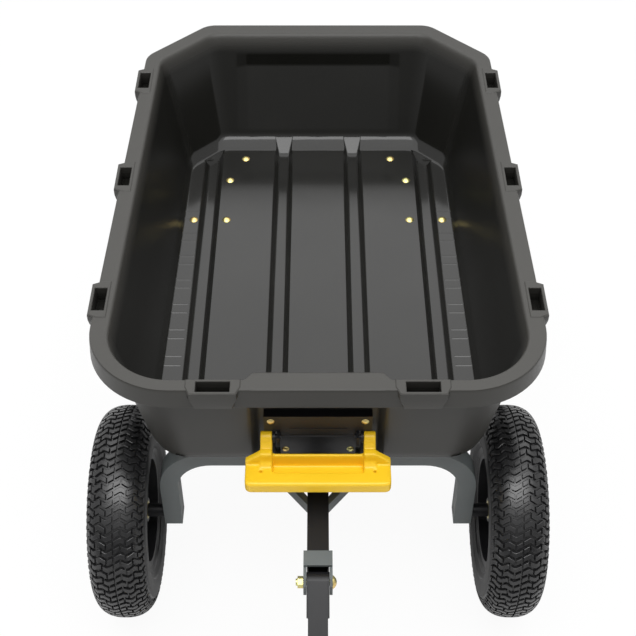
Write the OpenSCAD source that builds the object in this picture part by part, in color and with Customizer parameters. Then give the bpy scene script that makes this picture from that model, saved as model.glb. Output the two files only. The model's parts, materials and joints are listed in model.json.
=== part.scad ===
// Tipping dump cart: a moulded tub on a steered four-wheel chassis, in millimetres.
// +Z is up, -Y is the tongue end, and the origin lies on the ground under the middle.

/* [Wheels] */
// Outer diameter of the tyres
tyre_d = 406.4; // [380:0.1:430]
// Width of the tyres
tyre_w = 109; // [96:1:120]
// Thickness of the tyre's carcass
tyre_t = 8; // [6:0.5:12]
// Distance between the left and right wheel planes
track = 730; // [715:1:780]
// Distance from the front axle to the rear axle
wheelbase = 640; // [610:1:670]
// Diameter of the rim's bead seat
rim_d = 203.2; // [190:0.1:220]
// Width of the rim over its flanges
rim_w = 84; // [76:1:90]
// Thickness of the rim's pressed sheet
rim_t = 3; // [2:0.5:4]
// Height of the rim's flanges over the bead seat
rim_flange = 10; // [6:0.5:12]
// Depth of the rim's well under the bead seat
rim_well = 15; // [10:0.5:20]
// How far the rim's disc is dished out at the hub
disc_dish = 8; // [4:0.5:12]
// Width of the disc's flat ring round the hub
dish_w = 23; // [18:1:26]
// Width of the slope between the disc's flat rings
dish_slope = 17; // [12:1:20]
// Diameter of the wheel hubs
hub_d = 46; // [42:1:54]
// Length of a hub on the cart's side of the wheel plane
hub_in = 36; // [30:1:40]
// Length of a hub on the outer side of the wheel plane
hub_out = 36; // [28:1:38]
// Outer diameter of a wheel bearing
bearing_od = 35; // [30:1:38]
// Width of a wheel bearing
bearing_w = 11; // [8:1:14]
// Diameter of the stub axles
axle_d = 16; // [12:1:20]
// Radial room between a stub axle and the middle of its hub
hub_room = 4; // [3:0.5:5]
// Height of a stub axle's shoulder over the axle
axle_step = 5; // [3:0.5:6]
// Thickness of the axle washers
washer_t = 2.5; // [2:0.5:4]
// Height of the axle nuts
axle_nut_h = 10; // [8:1:14]
// Diameter of a tyre valve
valve_d = 8; // [6:0.5:10]
// Length of a tyre valve
valve_l = 24; // [16:1:30]

/* [Tub] */
// Room between the top of the tyres and the tub's underside
tub_over_tyre = 23.6; // [20:0.1:40]
// Depth of the tub from the rim's top to the floor
tub_depth = 222; // [190:1:260]
// Thickness of the moulded wall
wall = 4; // [3:0.5:5]
// Width of the rim at the front
rim_front_w = 780; // [750:1:800]
// Width of the rim where the rear chamfers start
rim_back_w = 752; // [730:1:776]
// How far the rim reaches ahead of the front axle
rim_ahead = 94; // [86:1:110]
// How far the rim reaches behind the tub's hinge
rim_behind = 312; // [290:1:340]
// Width of the rim's flat top at the sides
rim_side = 33; // [28:1:38]
// Width of the rim's flat top at the front
rim_front = 26; // [24:1:32]
// Width of the rim's flat top at the back
rim_back = 37; // [28:1:42]
// Height of the rim's turned-down lip
lip_h = 39; // [26:1:46]
// How far the lip flares outwards at its lower edge
lip_flare = 3; // [0:0.5:6]
// Rounding of the rim's outer edge
edge_r = 6; // [4:0.5:8]
// Radius of the rim's front corners
front_corner_r = 146; // [120:1:165]
// Size of the rim's rear corner chamfers
rear_chamfer = 126; // [110:1:150]
// Rounding at the ends of the rear chamfers
chamfer_r = 45; // [20:1:60]
// Width of the floor at the front
floor_front_w = 592; // [570:1:600]
// Width of the floor at the back
floor_back_w = 570; // [550:1:580]
// How far the floor reaches ahead of the front axle
floor_ahead = 50; // [42:1:58]
// How far the floor reaches behind the tub's hinge
floor_behind = 140; // [125:1:160]
// Radius of the floor's front corners
floor_corner_r = 70; // [50:1:90]
// Size of the floor's rear corner chamfers
floor_chamfer = 67; // [55:1:80]
// Height of the sloped cove round the floor
cove_h = 18; // [14:1:24]
// Width of the cove at the sides
cove_side = 8; // [4:1:12]
// Width of the cove at the front
cove_front = 2; // [1:0.5:5]
// Width of the cove at the back
cove_back = 27; // [18:1:40]
// Depth of the sunken floor channels
channel_depth = 12; // [8:1:12]
// Width of a channel's bottom
channel_w = 22; // [16:1:28]
// Width of a channel's sloping side
channel_side = 9; // [6:1:12]
// Distance of the inner channels from the middle
channel_in_x = 78; // [70:1:90]
// Distance of the outer channels from the middle
channel_out_x = 235.5; // [225:0.5:240]
// Length of the ramps that end the channels
channel_ramp = 30; // [20:1:40]
// Width of the recess in the front wall at its back
recess_w = 208; // [204:1:216]
// Depth of the recess in the front wall
recess_d = 18; // [14:1:22]
// Width of the recess's slanted sides
recess_slant = 13; // [8:1:18]

/* [Stake pockets] */
// Length of a pocket's hole along the rim
pocket_l = 56; // [48:1:64]
// Width of a pocket's hole across the rim
pocket_w = 22; // [18:1:26]
// Depth of a pocket's hole
pocket_depth = 29; // [20:1:30]
// Wall of a pocket's block at the outside and the inside of the hole
pocket_wall = 6; // [4:0.5:8]
// Wall of a pocket's block at the ends of the hole
pocket_end = 18; // [12:1:22]
// How far the side pockets stand out of the rim
pocket_proud = 10; // [6:1:16]
// How far the front pockets stand out of the rim
front_pocket_proud = 9; // [6:1:14]
// How far a pocket's block rises over the rim
pocket_rise = 1.5; // [0.5:0.5:3]
// Distance of the front pockets from the middle
front_pocket_x = 172; // [160:1:190]
// Distance of the first side pockets from the rim's front edge
pocket_first = 213; // [190:1:230]
// Distance of the middle side pockets from the rim's front edge
pocket_second = 556; // [520:1:590]
// Distance of the last side pockets from the rim's front edge
pocket_third = 884; // [850:1:900]

/* [Chassis] */
// Width and height of the square rails
rail_w = 38; // [34:1:40]
// Wall of the square tubes
tube_t = 2.5; // [2:0.5:4]
// Distance of the rails from the middle
rail_x = 75; // [65:1:78]
// Where the rails start behind the front axle
rail_start = 112; // [108:1:130]
// Height of the rubber pad that the tub rests on
pad_h = 14; // [12:1:20]
// Width of the rubber pad
pad_w = 100; // [60:1:106]
// Length of the rubber pad
pad_l = 60; // [40:1:70]
// Distance of the rubber pad from the front plate's rear edge
pad_inset = 10; // [5:1:20]
// Thickness of the front plate
plate_t = 6; // [5:0.5:8]
// Width of the front plate
plate_w = 200; // [190:1:220]
// How far the front plate reaches ahead of the front axle
plate_ahead = 50; // [44:1:54]
// How far the front plate reaches behind the front axle
plate_behind = 200; // [190:1:240]
// Distance of the tub's hinge behind the rear axle
hinge_behind = 60; // [50:1:70]
// Diameter of the hinge rod
hinge_d = 16; // [12:1:18]
// Length of the hinge rod past its lugs
rod_tail = 10; // [8:0.5:14]
// Width of the hinge collars
hinge_collar_w = 6; // [4:0.5:7]
// Length of the rails past the hinge
rail_tail = 17; // [14:0.5:17]
// Thickness of a hinge bracket's plate and lug
bracket_t = 5; // [4:0.5:6]
// Gap between a rail and a hinge lug
lug_gap = 10; // [6:1:14]
// Radius of a hinge lug round the hinge rod
lug_r = 14; // [12:0.5:18]
// Margin of a hinge bracket's plate round its bolts
bracket_margin = 16; // [13:1:20]

/* [Axles and tongue] */
// Thickness of the arched axles
arch_t = 34; // [28:1:36]
// Depth of the arched axles from front to back
arch_depth = 40; // [36:1:44]
// Inner radius of the arches' shoulders
arch_r = 66; // [40:1:80]
// Gap between an arch's leg and the tyre
leg_gap = 14.5; // [10:0.5:20]
// Length of a leg below the axle
leg_below = 18; // [14:1:24]
// Height of the turntable disc
disc_h = 10; // [8:1:14]
// Diameter of the turntable disc
disc_d = 120; // [90:1:140]
// Diameter of the kingpin
kingpin_d = 16; // [12:1:18]
// Height of the kingpin's nut
kingpin_nut_h = 13; // [10:1:16]
// Length of the kingpin past its nut
kingpin_tail = 5; // [2:1:8]
// Width and height of the square tongue
tongue_w = 38; // [36:1:42]
// Length of the tongue ahead of the front axle
tongue_l = 235; // [220:1:260]
// Length of the tongue behind the front axle
tongue_tail = 20; // [18:1:30]
// Thickness of the tongue's braces
brace_t = 12; // [8:1:14]
// Height of the tongue's braces
brace_h = 25; // [18:1:30]
// Where the braces meet the tongue, ahead of the front axle
brace_ahead = 108; // [90:1:130]
// Distance of the braces' rear ends from the middle
brace_x = 106; // [90:1:120]
// Width of the clevis between its cheeks
clevis_w = 40; // [40:0.5:44]
// Thickness of the clevis's plate
clevis_t = 5; // [4:0.5:6]
// Length of the clevis over the tongue
clevis_lap = 27; // [20:1:40]
// Distance of the handle's bolt from the end of the tongue
clevis_reach = 21; // [20:0.5:26]
// Length of the clevis past the handle's bolt
clevis_nose = 16; // [12:1:20]
// How far the clevis's top reaches past the end of the tongue
clevis_over = 3; // [0:0.5:3]
// How far the clevis's cheeks reach below the tongue
clevis_drop = 5; // [3:0.5:8]
// Size of the cut corners on the clevis's cheeks
clevis_cut = 9; // [6:0.5:10]

/* [Pull handle] */
// Width and height of the handle's square bar
bar_w = 34; // [30:1:34]
// Length of the handle's bar from its bolt
bar_l = 548; // [500:1:600]
// Thickness of the plates on the bar's sides
yoke_t = 2.5; // [2:0.5:2.5]
// Length of the plates on the bar's sides
yoke_l = 60; // [40:1:90]
// Diameter of the handle's bolt
bolt_d = 12; // [10:1:14]
// Height of the nut on the handle's bolt
handle_nut_h = 10; // [8:1:12]
// Distance from the end of the bar to the grip
loop_l = 124; // [108:1:170]
// Diameter of the hand grip
grip_d = 30; // [26:1:36]
// Length of the hand grip
grip_l = 100; // [90:1:110]
// Diameter of the grip's rod
grip_rod_d = 14; // [10:1:16]
// Length of straight rod left at each end of the hand grip
loop_room = 1; // [1:0.5:10]
// Length of the loop's sides, along the bar
loop_side = 52; // [30:1:60]
// Radius of the grip loop's bends
loop_bend = 16; // [12:1:20]
// Length of the loop's ends that lie along the bar
loop_lap = 45; // [30:1:60]
// Thickness of the tow plate
tow_t = 8; // [6:1:10]
// Diameter of the tow plate's round end
tow_w = 44; // [36:1:50]
// Distance of the tow hole from the end of the bar
tow_out = 34; // [26:1:40]
// Diameter of the tow hole
tow_d = 16.5; // [13:0.5:20]

/* [Release handle] */
// Height of the release handle's pivot over the tub's floor
latch_up = 66; // [60:1:75]
// Distance of the pivot from the recess
pivot_out = 20; // [18:0.5:24]
// Diameter of the pivot pins
pin_d = 10; // [8:1:12]
// Width of the handle's front bar
paddle_w = 252; // [240:1:270]
// How far the handle's front edge lies ahead of its pivot
paddle_reach = 78; // [70:1:90]
// Length of the handle's paddle from front to back
paddle_l = 56; // [48:1:60]
// Thickness of the handle's paddle
paddle_h = 24; // [18:1:28]
// How far the paddle's top lies below the pivot
paddle_drop = 33; // [28:1:38]
// Width of the paddle's front bar
paddle_bar = 27; // [20:1:30]
// Width of the triangular holes ahead of the arms
paddle_hole_w = 9; // [6:1:12]
// Length of the triangular holes ahead of the arms
paddle_hole_l = 7; // [4:0.5:8]
// Depth of the paddle's finger recess
paddle_recess = 12; // [8:1:16]
// Rounding of the paddle's front corners
paddle_r = 10; // [6:1:14]
// Thickness of the web behind the finger recess
web_t = 6; // [4:0.5:8]
// Height of the web over the paddle
web_h = 16; // [10:1:20]
// Thickness of the handle's shoulders
shoulder_t = 12; // [8:1:14]
// Height of the shoulders over the paddle at the arms
shoulder_h = 26; // [20:1:28]
// Height of the shoulders over the paddle at its ends
shoulder_end = 6; // [3:1:12]
// Thickness of the handle's arms
arm_t = 21; // [16:1:22]
// Distance of the arms' inner faces from the middle
arm_x = 79; // [78:1:80]
// Radius of the arms round the pivot
arm_r = 11; // [9:0.5:12]
// Thickness of the latch hooks
hook_t = 5; // [4:0.5:6]
// Width of the latch hooks
hook_w = 11; // [9:1:12]
// Height of a latch hook's foot
hook_foot = 6; // [4:0.5:8]
// Gap between a latch hook and the front plate
hook_gap = 1; // [0.5:0.5:2]
// Width of the latch plate
latch_w = 186; // [180:1:196]
// Height of the latch plate
latch_h = 110; // [100:1:120]
// Depth of the latch plate's pan
latch_d = 16; // [12:1:18]
// Thickness of the latch plate's sheet
latch_t = 3; // [2:0.5:4]
// Width of the latch plate's lower part
latch_low_w = 132; // [126:1:134]
// How far the latch plate's wide part starts above the pivot
latch_step = 14; // [13:0.5:18]
// Width of the raised panel on the latch plate
panel_w = 100; // [80:1:110]
// Height of the raised panel on the latch plate
panel_h = 44; // [36:1:50]
// How far the panel is raised
panel_t = 1; // [0.5:0.5:2]
// Thickness of the latch plate's ears
ear_t = 5; // [4:0.5:5]

/* [Fasteners and clearances] */
// Diameter of the floor bolts
floor_bolt_d = 8; // [6:1:10]
// Diameter of a floor bolt's round head
floor_head_d = 19; // [15:1:22]
// Height of a floor bolt's round head
floor_head_h = 4.5; // [3:0.5:6]
// Width of a floor nut across its flats
floor_nut_w = 13; // [12:0.5:16]
// Height of a floor nut
floor_nut_h = 6.5; // [5:0.5:8]
// Diameter of the latch plate's bolts
latch_bolt_d = 6; // [5:1:8]
// Diameter of a latch bolt's round head
latch_head_d = 14; // [11:1:14]
// Width of a latch nut across its flats
latch_nut_w = 10; // [9:0.5:13]
// Height of a latch nut
latch_nut_h = 5; // [4:0.5:6]
// Length of a bolt past its nut
bolt_tail = 3; // [2:0.5:4]
// Radial gap between a pin and a bore that turns on it
run_gap = 0.05; // [0.02:0.01:0.1]
// Radial gap between a bolt and its plain hole
hole_gap = 0.25; // [0.1:0.05:0.5]
// Gap between faces of pieces that move past each other
face_gap = 0.3; // [0.2:0.1:0.6]

/* [Hidden] */
$fn = 48;
eps = 0.01;
corner_steps = 8;
bend_steps = 3;

// Levels
axle_z = tyre_d / 2;
under_z = tyre_d + tub_over_tyre;
floor_z = under_z + wall;
rim_z = floor_z + tub_depth;
plate_top = under_z - pad_h;
plate_z = plate_top - plate_t;
arch_top = plate_z - disc_h;
tongue_top = arch_top - arch_t;
tongue_z = tongue_top - tongue_w;
rail_z = plate_z - rail_w;
hinge_z = rail_z + rail_w / 2;
latch_z = floor_z + latch_up;
leg_bottom = axle_z - leg_below;

// Places along the cart, with the front axle at zero
hinge_y = wheelbase + hinge_behind;
rail_end = hinge_y + rail_tail;
swing_y = -tongue_l - clevis_reach;
swing_z = tongue_z + tongue_w / 2;
grip_reach = bar_l + loop_l;
rest_angle = asin((swing_z - grip_d / 2) / grip_reach);
grip_front = swing_y - grip_reach * cos(rest_angle) - grip_d / 2;
rim_back_y = hinge_y + rim_behind;
floor_back_y = hinge_y + floor_behind;
mid_y = (grip_front + rim_back_y + lip_flare) / 2;

// Places across the cart
leg_out = track / 2 - tyre_w / 2 - leg_gap;
leg_in = leg_out - arch_t;
lug_x = rail_x + rail_w / 2 + lug_gap;
rod_half = lug_x + bracket_t + rod_tail;
arm_out = arm_x + arm_t;
hook_x = arm_x - hook_t;
ear_x = latch_low_w / 2;
clevis_half = clevis_w / 2 + clevis_t;
loop_x = grip_l / 2 + loop_room + loop_bend;

// Tub outlines: front width, back width, front, back, corner radius, chamfer
floor_line = [floor_front_w / 2, floor_back_w / 2, -floor_ahead, floor_back_y,
              floor_corner_r, floor_chamfer];
cove_line = [floor_front_w / 2 + cove_side, floor_back_w / 2 + cove_side,
             -floor_ahead - cove_front, floor_back_y + cove_back,
             floor_corner_r + cove_side, floor_chamfer + cove_side];
rim_line = [rim_front_w / 2, rim_back_w / 2, -rim_ahead, rim_back_y, front_corner_r, rear_chamfer];
brim_line = [rim_line[0] - rim_side, rim_line[1] - rim_side,
             rim_line[2] + rim_front, rim_line[3] - rim_back,
             front_corner_r - rim_side, rear_chamfer - rim_side * (2 - sqrt(2))];

// Recess of the front wall and the frame of the latch plate on it
recess_half = recess_w / 2;
wall_low_z = floor_z + cove_h - wall;
wall_top_z = rim_z - wall;
wall_lean = atan((cove_line[2] - brim_line[2]) / (wall_top_z - wall_low_z));
recess_y = cove_line[2] - wall + recess_d - (latch_z - wall_low_z) * tan(wall_lean);
pivot_y = recess_y - pivot_out;

// Thickness of the recess's back wall at a height over the pivot
inner_slope = (cove_line[2] - brim_line[2]) / (rim_z - edge_r - floor_z - cove_h);
function recess_wall(up) =
    cove_line[2] + recess_d - (latch_z + up - floor_z - cove_h) * inner_slope
    - recess_y + up * tan(wall_lean);

// Bolts that hold a hinge bracket: distance from the middle, distance behind the hinge
channel_half = channel_w / 2 + channel_side;
bolt_out_x = channel_out_x + channel_half + wall + 7.5;
bolt_in_x = channel_out_x - channel_half - wall - 14.5;
bracket_bolts = [[bolt_in_x - 33, 107], [bolt_in_x - 1, 29], [bolt_in_x, -106], [bolt_out_x, -106]];
spacer_h = channel_depth;
bracket_z = under_z - spacer_h;
bracket_under = bracket_z - bracket_t;

// Ends of the axles and the kingpin
hub_gap_in = leg_out - track / 2;
axle_end = hub_out + face_gap + washer_t + axle_nut_h + 2;
kingpin_nut_z = tongue_z - face_gap - kingpin_nut_h;

// Bolts of the latch plate: distance from the middle, height over the pivot
latch_bolts = [[81, 41], [57, -41]];

SIDES = [[-1, "left"], [1, "right"]];

plastic = "#414243";
frame_grey = "#4a5050";
zinc = "#c9a85a";
steel = "#8d9094";
rubber = "#1d1d1f";
yellow = "#f4c828";

// Shared helpers

// Puts the front axle's frame into the part's frame
module set_down() translate([0, -mid_y, 0]) children();

// Extrudes a (Y, Z) outline along X from x
module slab_x(x, t) translate([x, 0, 0]) rotate([90, 0, 90]) linear_extrude(t) children();

// Extrudes an (X, Z) outline along Y, centred on y
module slab_y(y, t) translate([0, y, 0]) rotate([90, 0, 0]) linear_extrude(t, center = true) children();

// Cylinder along X from x
module rod_x(x, l, r) translate([x, 0, 0]) rotate([0, 90, 0]) cylinder(r = r, h = l);

// Hexagon along Z with a hole, sized across its flats
module hex_nut(flats, h, bore) difference() {
    cylinder(d = flats / cos(30), h = h, $fn = 6);
    translate([0, 0, -1]) cylinder(r = bore, h = h + 2);
}

// Round bolt head that stands on z = 0
module dome(d, h) {
    r = (d * d / 4 + h * h) / (2 * h);
    a = asin(d / 2 / r);
    crown = [for (i = [0:6]) let (t = a * (1 - i / 6)) [r * sin(t), r * cos(t) - r + h]];
    rotate_extrude() polygon(concat([[0, 0]], crown));
}

// Square tube along Y between two places, open at both ends
module square_tube(w, y0, y1, z) difference() {
    translate([-w / 2, y0, z]) cube([w, y1 - y0, w]);
    translate([-w / 2 + tube_t, y0 - 1, z + tube_t])
        cube([w - 2 * tube_t, y1 - y0 + 2, w - 2 * tube_t]);
}

function arc(cx, cy, r, a0, a1, n) =
    [for (i = [0:n]) let (a = a0 + (a1 - a0) * i / n) [cx + r * cos(a), cy + r * sin(a)]];

// Tub

function grown(line, d) =
    [line[0] + d, line[1] + d, line[2] - d, line[3] + d, line[4] + d, line[5] + d * (2 - sqrt(2))];

// Outline at one level, anticlockwise from above, with the recess in its front edge
function tub_ring(line, notch_half, notch_d) =
    let (bend = chamfer_r * tan(22.5),
         right = concat(
             [[notch_half, line[2] + notch_d], [notch_half + recess_slant, line[2]]],
             arc(line[0] - line[4], line[2] + line[4], line[4], -90, 0, corner_steps),
             arc(line[1] - chamfer_r, line[3] - line[5] - bend, chamfer_r, 0, 45, bend_steps),
             arc(line[1] - line[5] - bend, line[3] - chamfer_r, chamfer_r, 45, 90, bend_steps)))
    concat(right, [for (i = [len(right) - 1:-1:0]) [-right[i].x, right[i].y]]);

// The moulding's skin from the outer bottom, over the rim, to the inner floor
tub_levels = [
    [under_z, tub_ring(grown(floor_line, wall / 2), recess_half, recess_d)],
    [wall_low_z, tub_ring(grown(cove_line, wall), recess_half, recess_d)],
    [wall_top_z, tub_ring(grown(brim_line, wall), recess_half, recess_d)],
    [wall_top_z, tub_ring(grown(rim_line, -wall), recess_half, 0)],
    [rim_z - lip_h, tub_ring(grown(rim_line, lip_flare - wall), recess_half, 0)],
    [rim_z - lip_h, tub_ring(grown(rim_line, lip_flare), recess_half, 0)],
    [rim_z - edge_r, tub_ring(rim_line, recess_half, 0)],
    [rim_z - edge_r * 0.3, tub_ring(grown(rim_line, -edge_r * 0.3), recess_half, 0)],
    [rim_z, tub_ring(grown(rim_line, -edge_r), recess_half, 0)],
    [rim_z, tub_ring(grown(brim_line, edge_r), recess_half + wall, recess_d)],
    [rim_z - edge_r, tub_ring(brim_line, recess_half + wall, recess_d)],
    [floor_z + cove_h, tub_ring(cove_line, recess_half + wall, recess_d)],
    [floor_z, tub_ring(floor_line, recess_half + wall, recess_d)]];

module tub_shell() {
    n = len(tub_levels[0][1]);
    m = len(tub_levels);
    sides = [for (k = [0:m - 2], i = [0:n - 1])
        let (a = k * n + i, b = k * n + (i + 1) % n) each [[a, a + n, b + n], [a, b + n, b]]];
    polyhedron(
        points = [for (level = tub_levels, p = level[1]) [p.x, p.y, level[0]]],
        faces = concat([[for (i = [0:n - 1]) i]], sides, [[for (i = [n - 1:-1:0]) (m - 1) * n + i]]));
}

// Half-width of the rim's edge at a place along the cart
function rim_half(y) =
    let (y0 = rim_line[2] + rim_line[4], y1 = rim_line[3] - rim_line[5])
    rim_line[0] + (rim_line[1] - rim_line[0]) * (y - y0) / (y1 - y0);

// Where the floor ends at a distance from the middle, at its back or in its rear corners
function floor_end(x) = min(floor_back_y, floor_line[1] + floor_line[3] - floor_line[5] - x);

// Sunken channel's space, grown by a wall for its outside
module floor_channel(x, grow, top) {
    half = channel_w / 2;
    y0 = -floor_ahead + recess_d + wall;
    y1 = floor_end(abs(x) + channel_half);
    intersection() {
        translate([x, (y0 + y1) / 2, 0]) slab_y(0, y1 - y0 + 4 * channel_half)
            polygon([[-half - grow, floor_z - channel_depth - grow],
                     [half + grow, floor_z - channel_depth - grow],
                     [channel_half + grow, floor_z], [channel_half + grow, floor_z + top],
                     [-channel_half - grow, floor_z + top], [-channel_half - grow, floor_z]]);
        slab_x(x - 2 * channel_half, 4 * channel_half)
            polygon([[y0 + channel_ramp - grow, floor_z - channel_depth - grow],
                     [y1 - channel_ramp + grow, floor_z - channel_depth - grow],
                     [y1 + grow, floor_z], [y1 + grow, floor_z + top],
                     [y0 - grow, floor_z + top], [y0 - grow, floor_z]]);
    }
}

module each_channel() for (s = [-1, 1], x = [channel_in_x, channel_out_x]) {
    $channel_x = s * x;
    children();
}

// Runs a pocket's shape at each stake pocket, with -Y local outwards and the rim's edge at y = 0
module each_pocket() {
    for (s = [-1, 1]) {
        $proud = front_pocket_proud;
        translate([s * front_pocket_x, -rim_ahead, rim_z]) children();
    }
    for (s = [-1, 1], along = [pocket_first, pocket_second, pocket_third]) {
        $proud = pocket_proud;
        y = along - rim_ahead;
        translate([s * rim_half(y), y, rim_z]) rotate([0, 0, s * 90]) children();
    }
}

module pocket_block() {
    half = pocket_l / 2 + pocket_end;
    depth = pocket_w + 2 * pocket_wall;
    slant = 4;
    slab_y(-$proud + depth / 2, depth)
        polygon([[-half + slant, -lip_h], [half - slant, -lip_h], [half, -lip_h / 3], [half, pocket_rise],
                 [-half, pocket_rise], [-half, -lip_h / 3]]);
}

module pocket_hole()
    translate([-pocket_l / 2, -$proud + pocket_wall, pocket_rise - pocket_depth])
        cube([pocket_l, pocket_w, pocket_depth + 1]);

// Local frame of the latch plate: -Y out of the recess, origin beside the pivot
module on_recess() translate([0, recess_y, latch_z]) rotate([wall_lean, 0, 0]) children();

module each_latch_bolt() for (s = [-1, 1], b = latch_bolts) {
    $up = b.y;
    on_recess() translate([s * b.x, 0, b.y]) children();
}

module each_floor_bolt(sides = [-1, 1])
    for (s = sides, b = bracket_bolts) translate([s * b.x, hinge_y + b.y, 0]) children();

module tub() color(plastic) set_down() difference() {
    union() {
        tub_shell();
        each_channel() floor_channel($channel_x, wall, -1);
        each_pocket() pocket_block();
    }
    each_channel() floor_channel($channel_x, 0, 1);
    each_pocket() pocket_hole();
    each_floor_bolt() translate([0, 0, under_z - 1])
        cylinder(d = floor_bolt_d + 2 * hole_gap, h = wall + 2);
    each_latch_bolt() translate([0, -wall, 0]) rotate([-90, 0, 0])
        cylinder(d = latch_bolt_d + 2 * hole_gap, h = 3 * wall);
}

// Latch plate's outline, wide above the arms and narrow between them
function latch_outline(inset) =
    let (w = latch_w / 2 - inset, n = latch_low_w / 2 - inset, h = latch_h / 2 - inset,
         s = latch_step + inset)
    [[-n, -h], [n, -h], [n, s], [w, s], [w, h], [-w, h], [-w, s], [-n, s]];

module latch_plate() color(frame_grey) set_down() difference() {
    on_recess() {
        difference() {
            slab_y(-latch_d / 2, latch_d) polygon(latch_outline(0));
            slab_y(0, 2 * (latch_d - latch_t)) polygon(latch_outline(latch_t));
        }
        slab_y(-latch_d - panel_t / 2, panel_t) square([panel_w, panel_h], center = true);
        for (s = [-1, 1])
            translate([s * (ear_x + ear_t / 2) - ear_t / 2, -pivot_out - arm_r + 1, -arm_r])
                cube([ear_t, pivot_out + arm_r - 1, 2 * arm_r]);
    }
    translate([0, pivot_y, latch_z]) rod_x(-latch_w, 2 * latch_w, pin_d / 2 + run_gap / 2);
    each_latch_bolt() rotate([90, 0, 0]) cylinder(d = latch_bolt_d + 2 * hole_gap, h = 2 * latch_d);
}

module latch_plate_bolts() color(zinc) set_down() each_latch_bolt() {
    translate([0, -latch_d, 0]) rotate([90, 0, 0]) dome(latch_head_d, latch_head_d / 4);
    translate([0, -latch_d, 0]) rotate([-90, 0, 0])
        cylinder(d = latch_bolt_d, h = latch_d + recess_wall($up) + latch_nut_h + bolt_tail);
}

module latch_plate_nuts() color(zinc) set_down() each_latch_bolt()
    translate([0, recess_wall($up) + run_gap, 0]) rotate([-90, 0, 0])
        hex_nut(latch_nut_w, latch_nut_h, latch_bolt_d / 2 + run_gap / 2);

module release_pivot_pins() color(zinc) set_down() translate([0, pivot_y, latch_z])
    for (s = [-1, 1]) rod_x(s > 0 ? ear_x - 2 : -arm_out + 1, arm_out + 1 - ear_x, pin_d / 2);

// Hinge bracket on one side: a plate under four spacers with a lug down to the hinge rod
module hinge_bracket(s) color(frame_grey) set_down() difference() {
    union() {
        translate([0, 0, bracket_under]) linear_extrude(bracket_t) hull() {
            for (b = bracket_bolts)
                translate([s * b.x, hinge_y + b.y]) circle(r = bracket_margin, $fn = 32);
            translate([s * (lug_x + bracket_t / 2), hinge_y])
                square([bracket_t, 3 * lug_r], center = true);
        }
        translate([s > 0 ? lug_x : -lug_x - bracket_t, hinge_y, 0]) {
            translate([0, -lug_r, hinge_z]) cube([bracket_t, 2 * lug_r, bracket_z - hinge_z - eps]);
            translate([0, 0, hinge_z]) rod_x(0, bracket_t, lug_r);
        }
    }
    translate([0, hinge_y, hinge_z]) rod_x(-rod_half, 2 * rod_half, hinge_d / 2 + run_gap);
    each_floor_bolt([s]) translate([0, 0, bracket_under - 1])
        cylinder(d = floor_bolt_d + 2 * hole_gap, h = bracket_t + 2);
}

module bracket_spacers() color(steel) set_down() each_floor_bolt()
    translate([0, 0, bracket_z]) difference() {
        cylinder(d = 2 * floor_bolt_d, h = spacer_h);
        translate([0, 0, -1]) cylinder(d = floor_bolt_d + 2 * hole_gap, h = spacer_h + 2);
    }

module floor_bolts() color(zinc) set_down() each_floor_bolt() {
    translate([0, 0, floor_z]) dome(floor_head_d, floor_head_h);
    tip = bracket_under - floor_nut_h - bolt_tail;
    translate([0, 0, tip]) cylinder(d = floor_bolt_d, h = floor_z - tip);
}

module floor_nuts() color(zinc) set_down() each_floor_bolt()
    translate([0, 0, bracket_under - floor_nut_h])
        hex_nut(floor_nut_w, floor_nut_h, floor_bolt_d / 2 + run_gap / 2);

// Release handle

module release_handle() color(yellow) set_down() {
    front = pivot_y - paddle_reach;
    back = front + paddle_l;
    bar_back = front + paddle_bar;
    top = latch_z - paddle_drop;
    half = paddle_w / 2;
    hole_x = arm_out + 1;
    difference() {
        union() {
            translate([0, 0, top - paddle_h]) linear_extrude(paddle_h)
                polygon(concat(arc(half - paddle_r, front + paddle_r, paddle_r, 0, -90, 6),
                               arc(-half + paddle_r, front + paddle_r, paddle_r, -90, -180, 6),
                               [[-half, back], [half, back]]));
            translate([-arm_x - 1, back - web_t, top - 1]) cube([2 * arm_x + 2, web_t, web_h + 1]);
            for (s = [-1, 1]) {
                slab_x(s > 0 ? arm_x : -arm_out, arm_t)
                    polygon([[pivot_y - arm_r, latch_z], [bar_back + paddle_hole_l + 1, top - 1],
                             [back, top - 1], [back, top - paddle_h], [pivot_y, latch_z - arm_r]]);
                translate([0, pivot_y, latch_z]) rod_x(s > 0 ? arm_x : -arm_out, arm_t, arm_r);
                slab_y(back - shoulder_t / 2, shoulder_t)
                    polygon([[s * arm_x, top - 1], [s * half, top - 1], [s * half, top + shoulder_end],
                             [s * arm_out, top + shoulder_h], [s * arm_x, top + shoulder_h]]);
            }
        }
        translate([-arm_x, bar_back, top - paddle_recess])
            cube([2 * arm_x, paddle_l - paddle_bar - web_t, paddle_recess + 1]);
        for (s = [-1, 1])
            translate([0, 0, top - paddle_h - 1]) linear_extrude(2 * paddle_h)
                polygon([[s * hole_x, bar_back], [s * (hole_x - paddle_hole_w), bar_back],
                         [s * hole_x, bar_back + paddle_hole_l]]);
        translate([0, pivot_y, latch_z]) rod_x(-paddle_w, 2 * paddle_w, pin_d / 2 + run_gap);
    }
}

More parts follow.
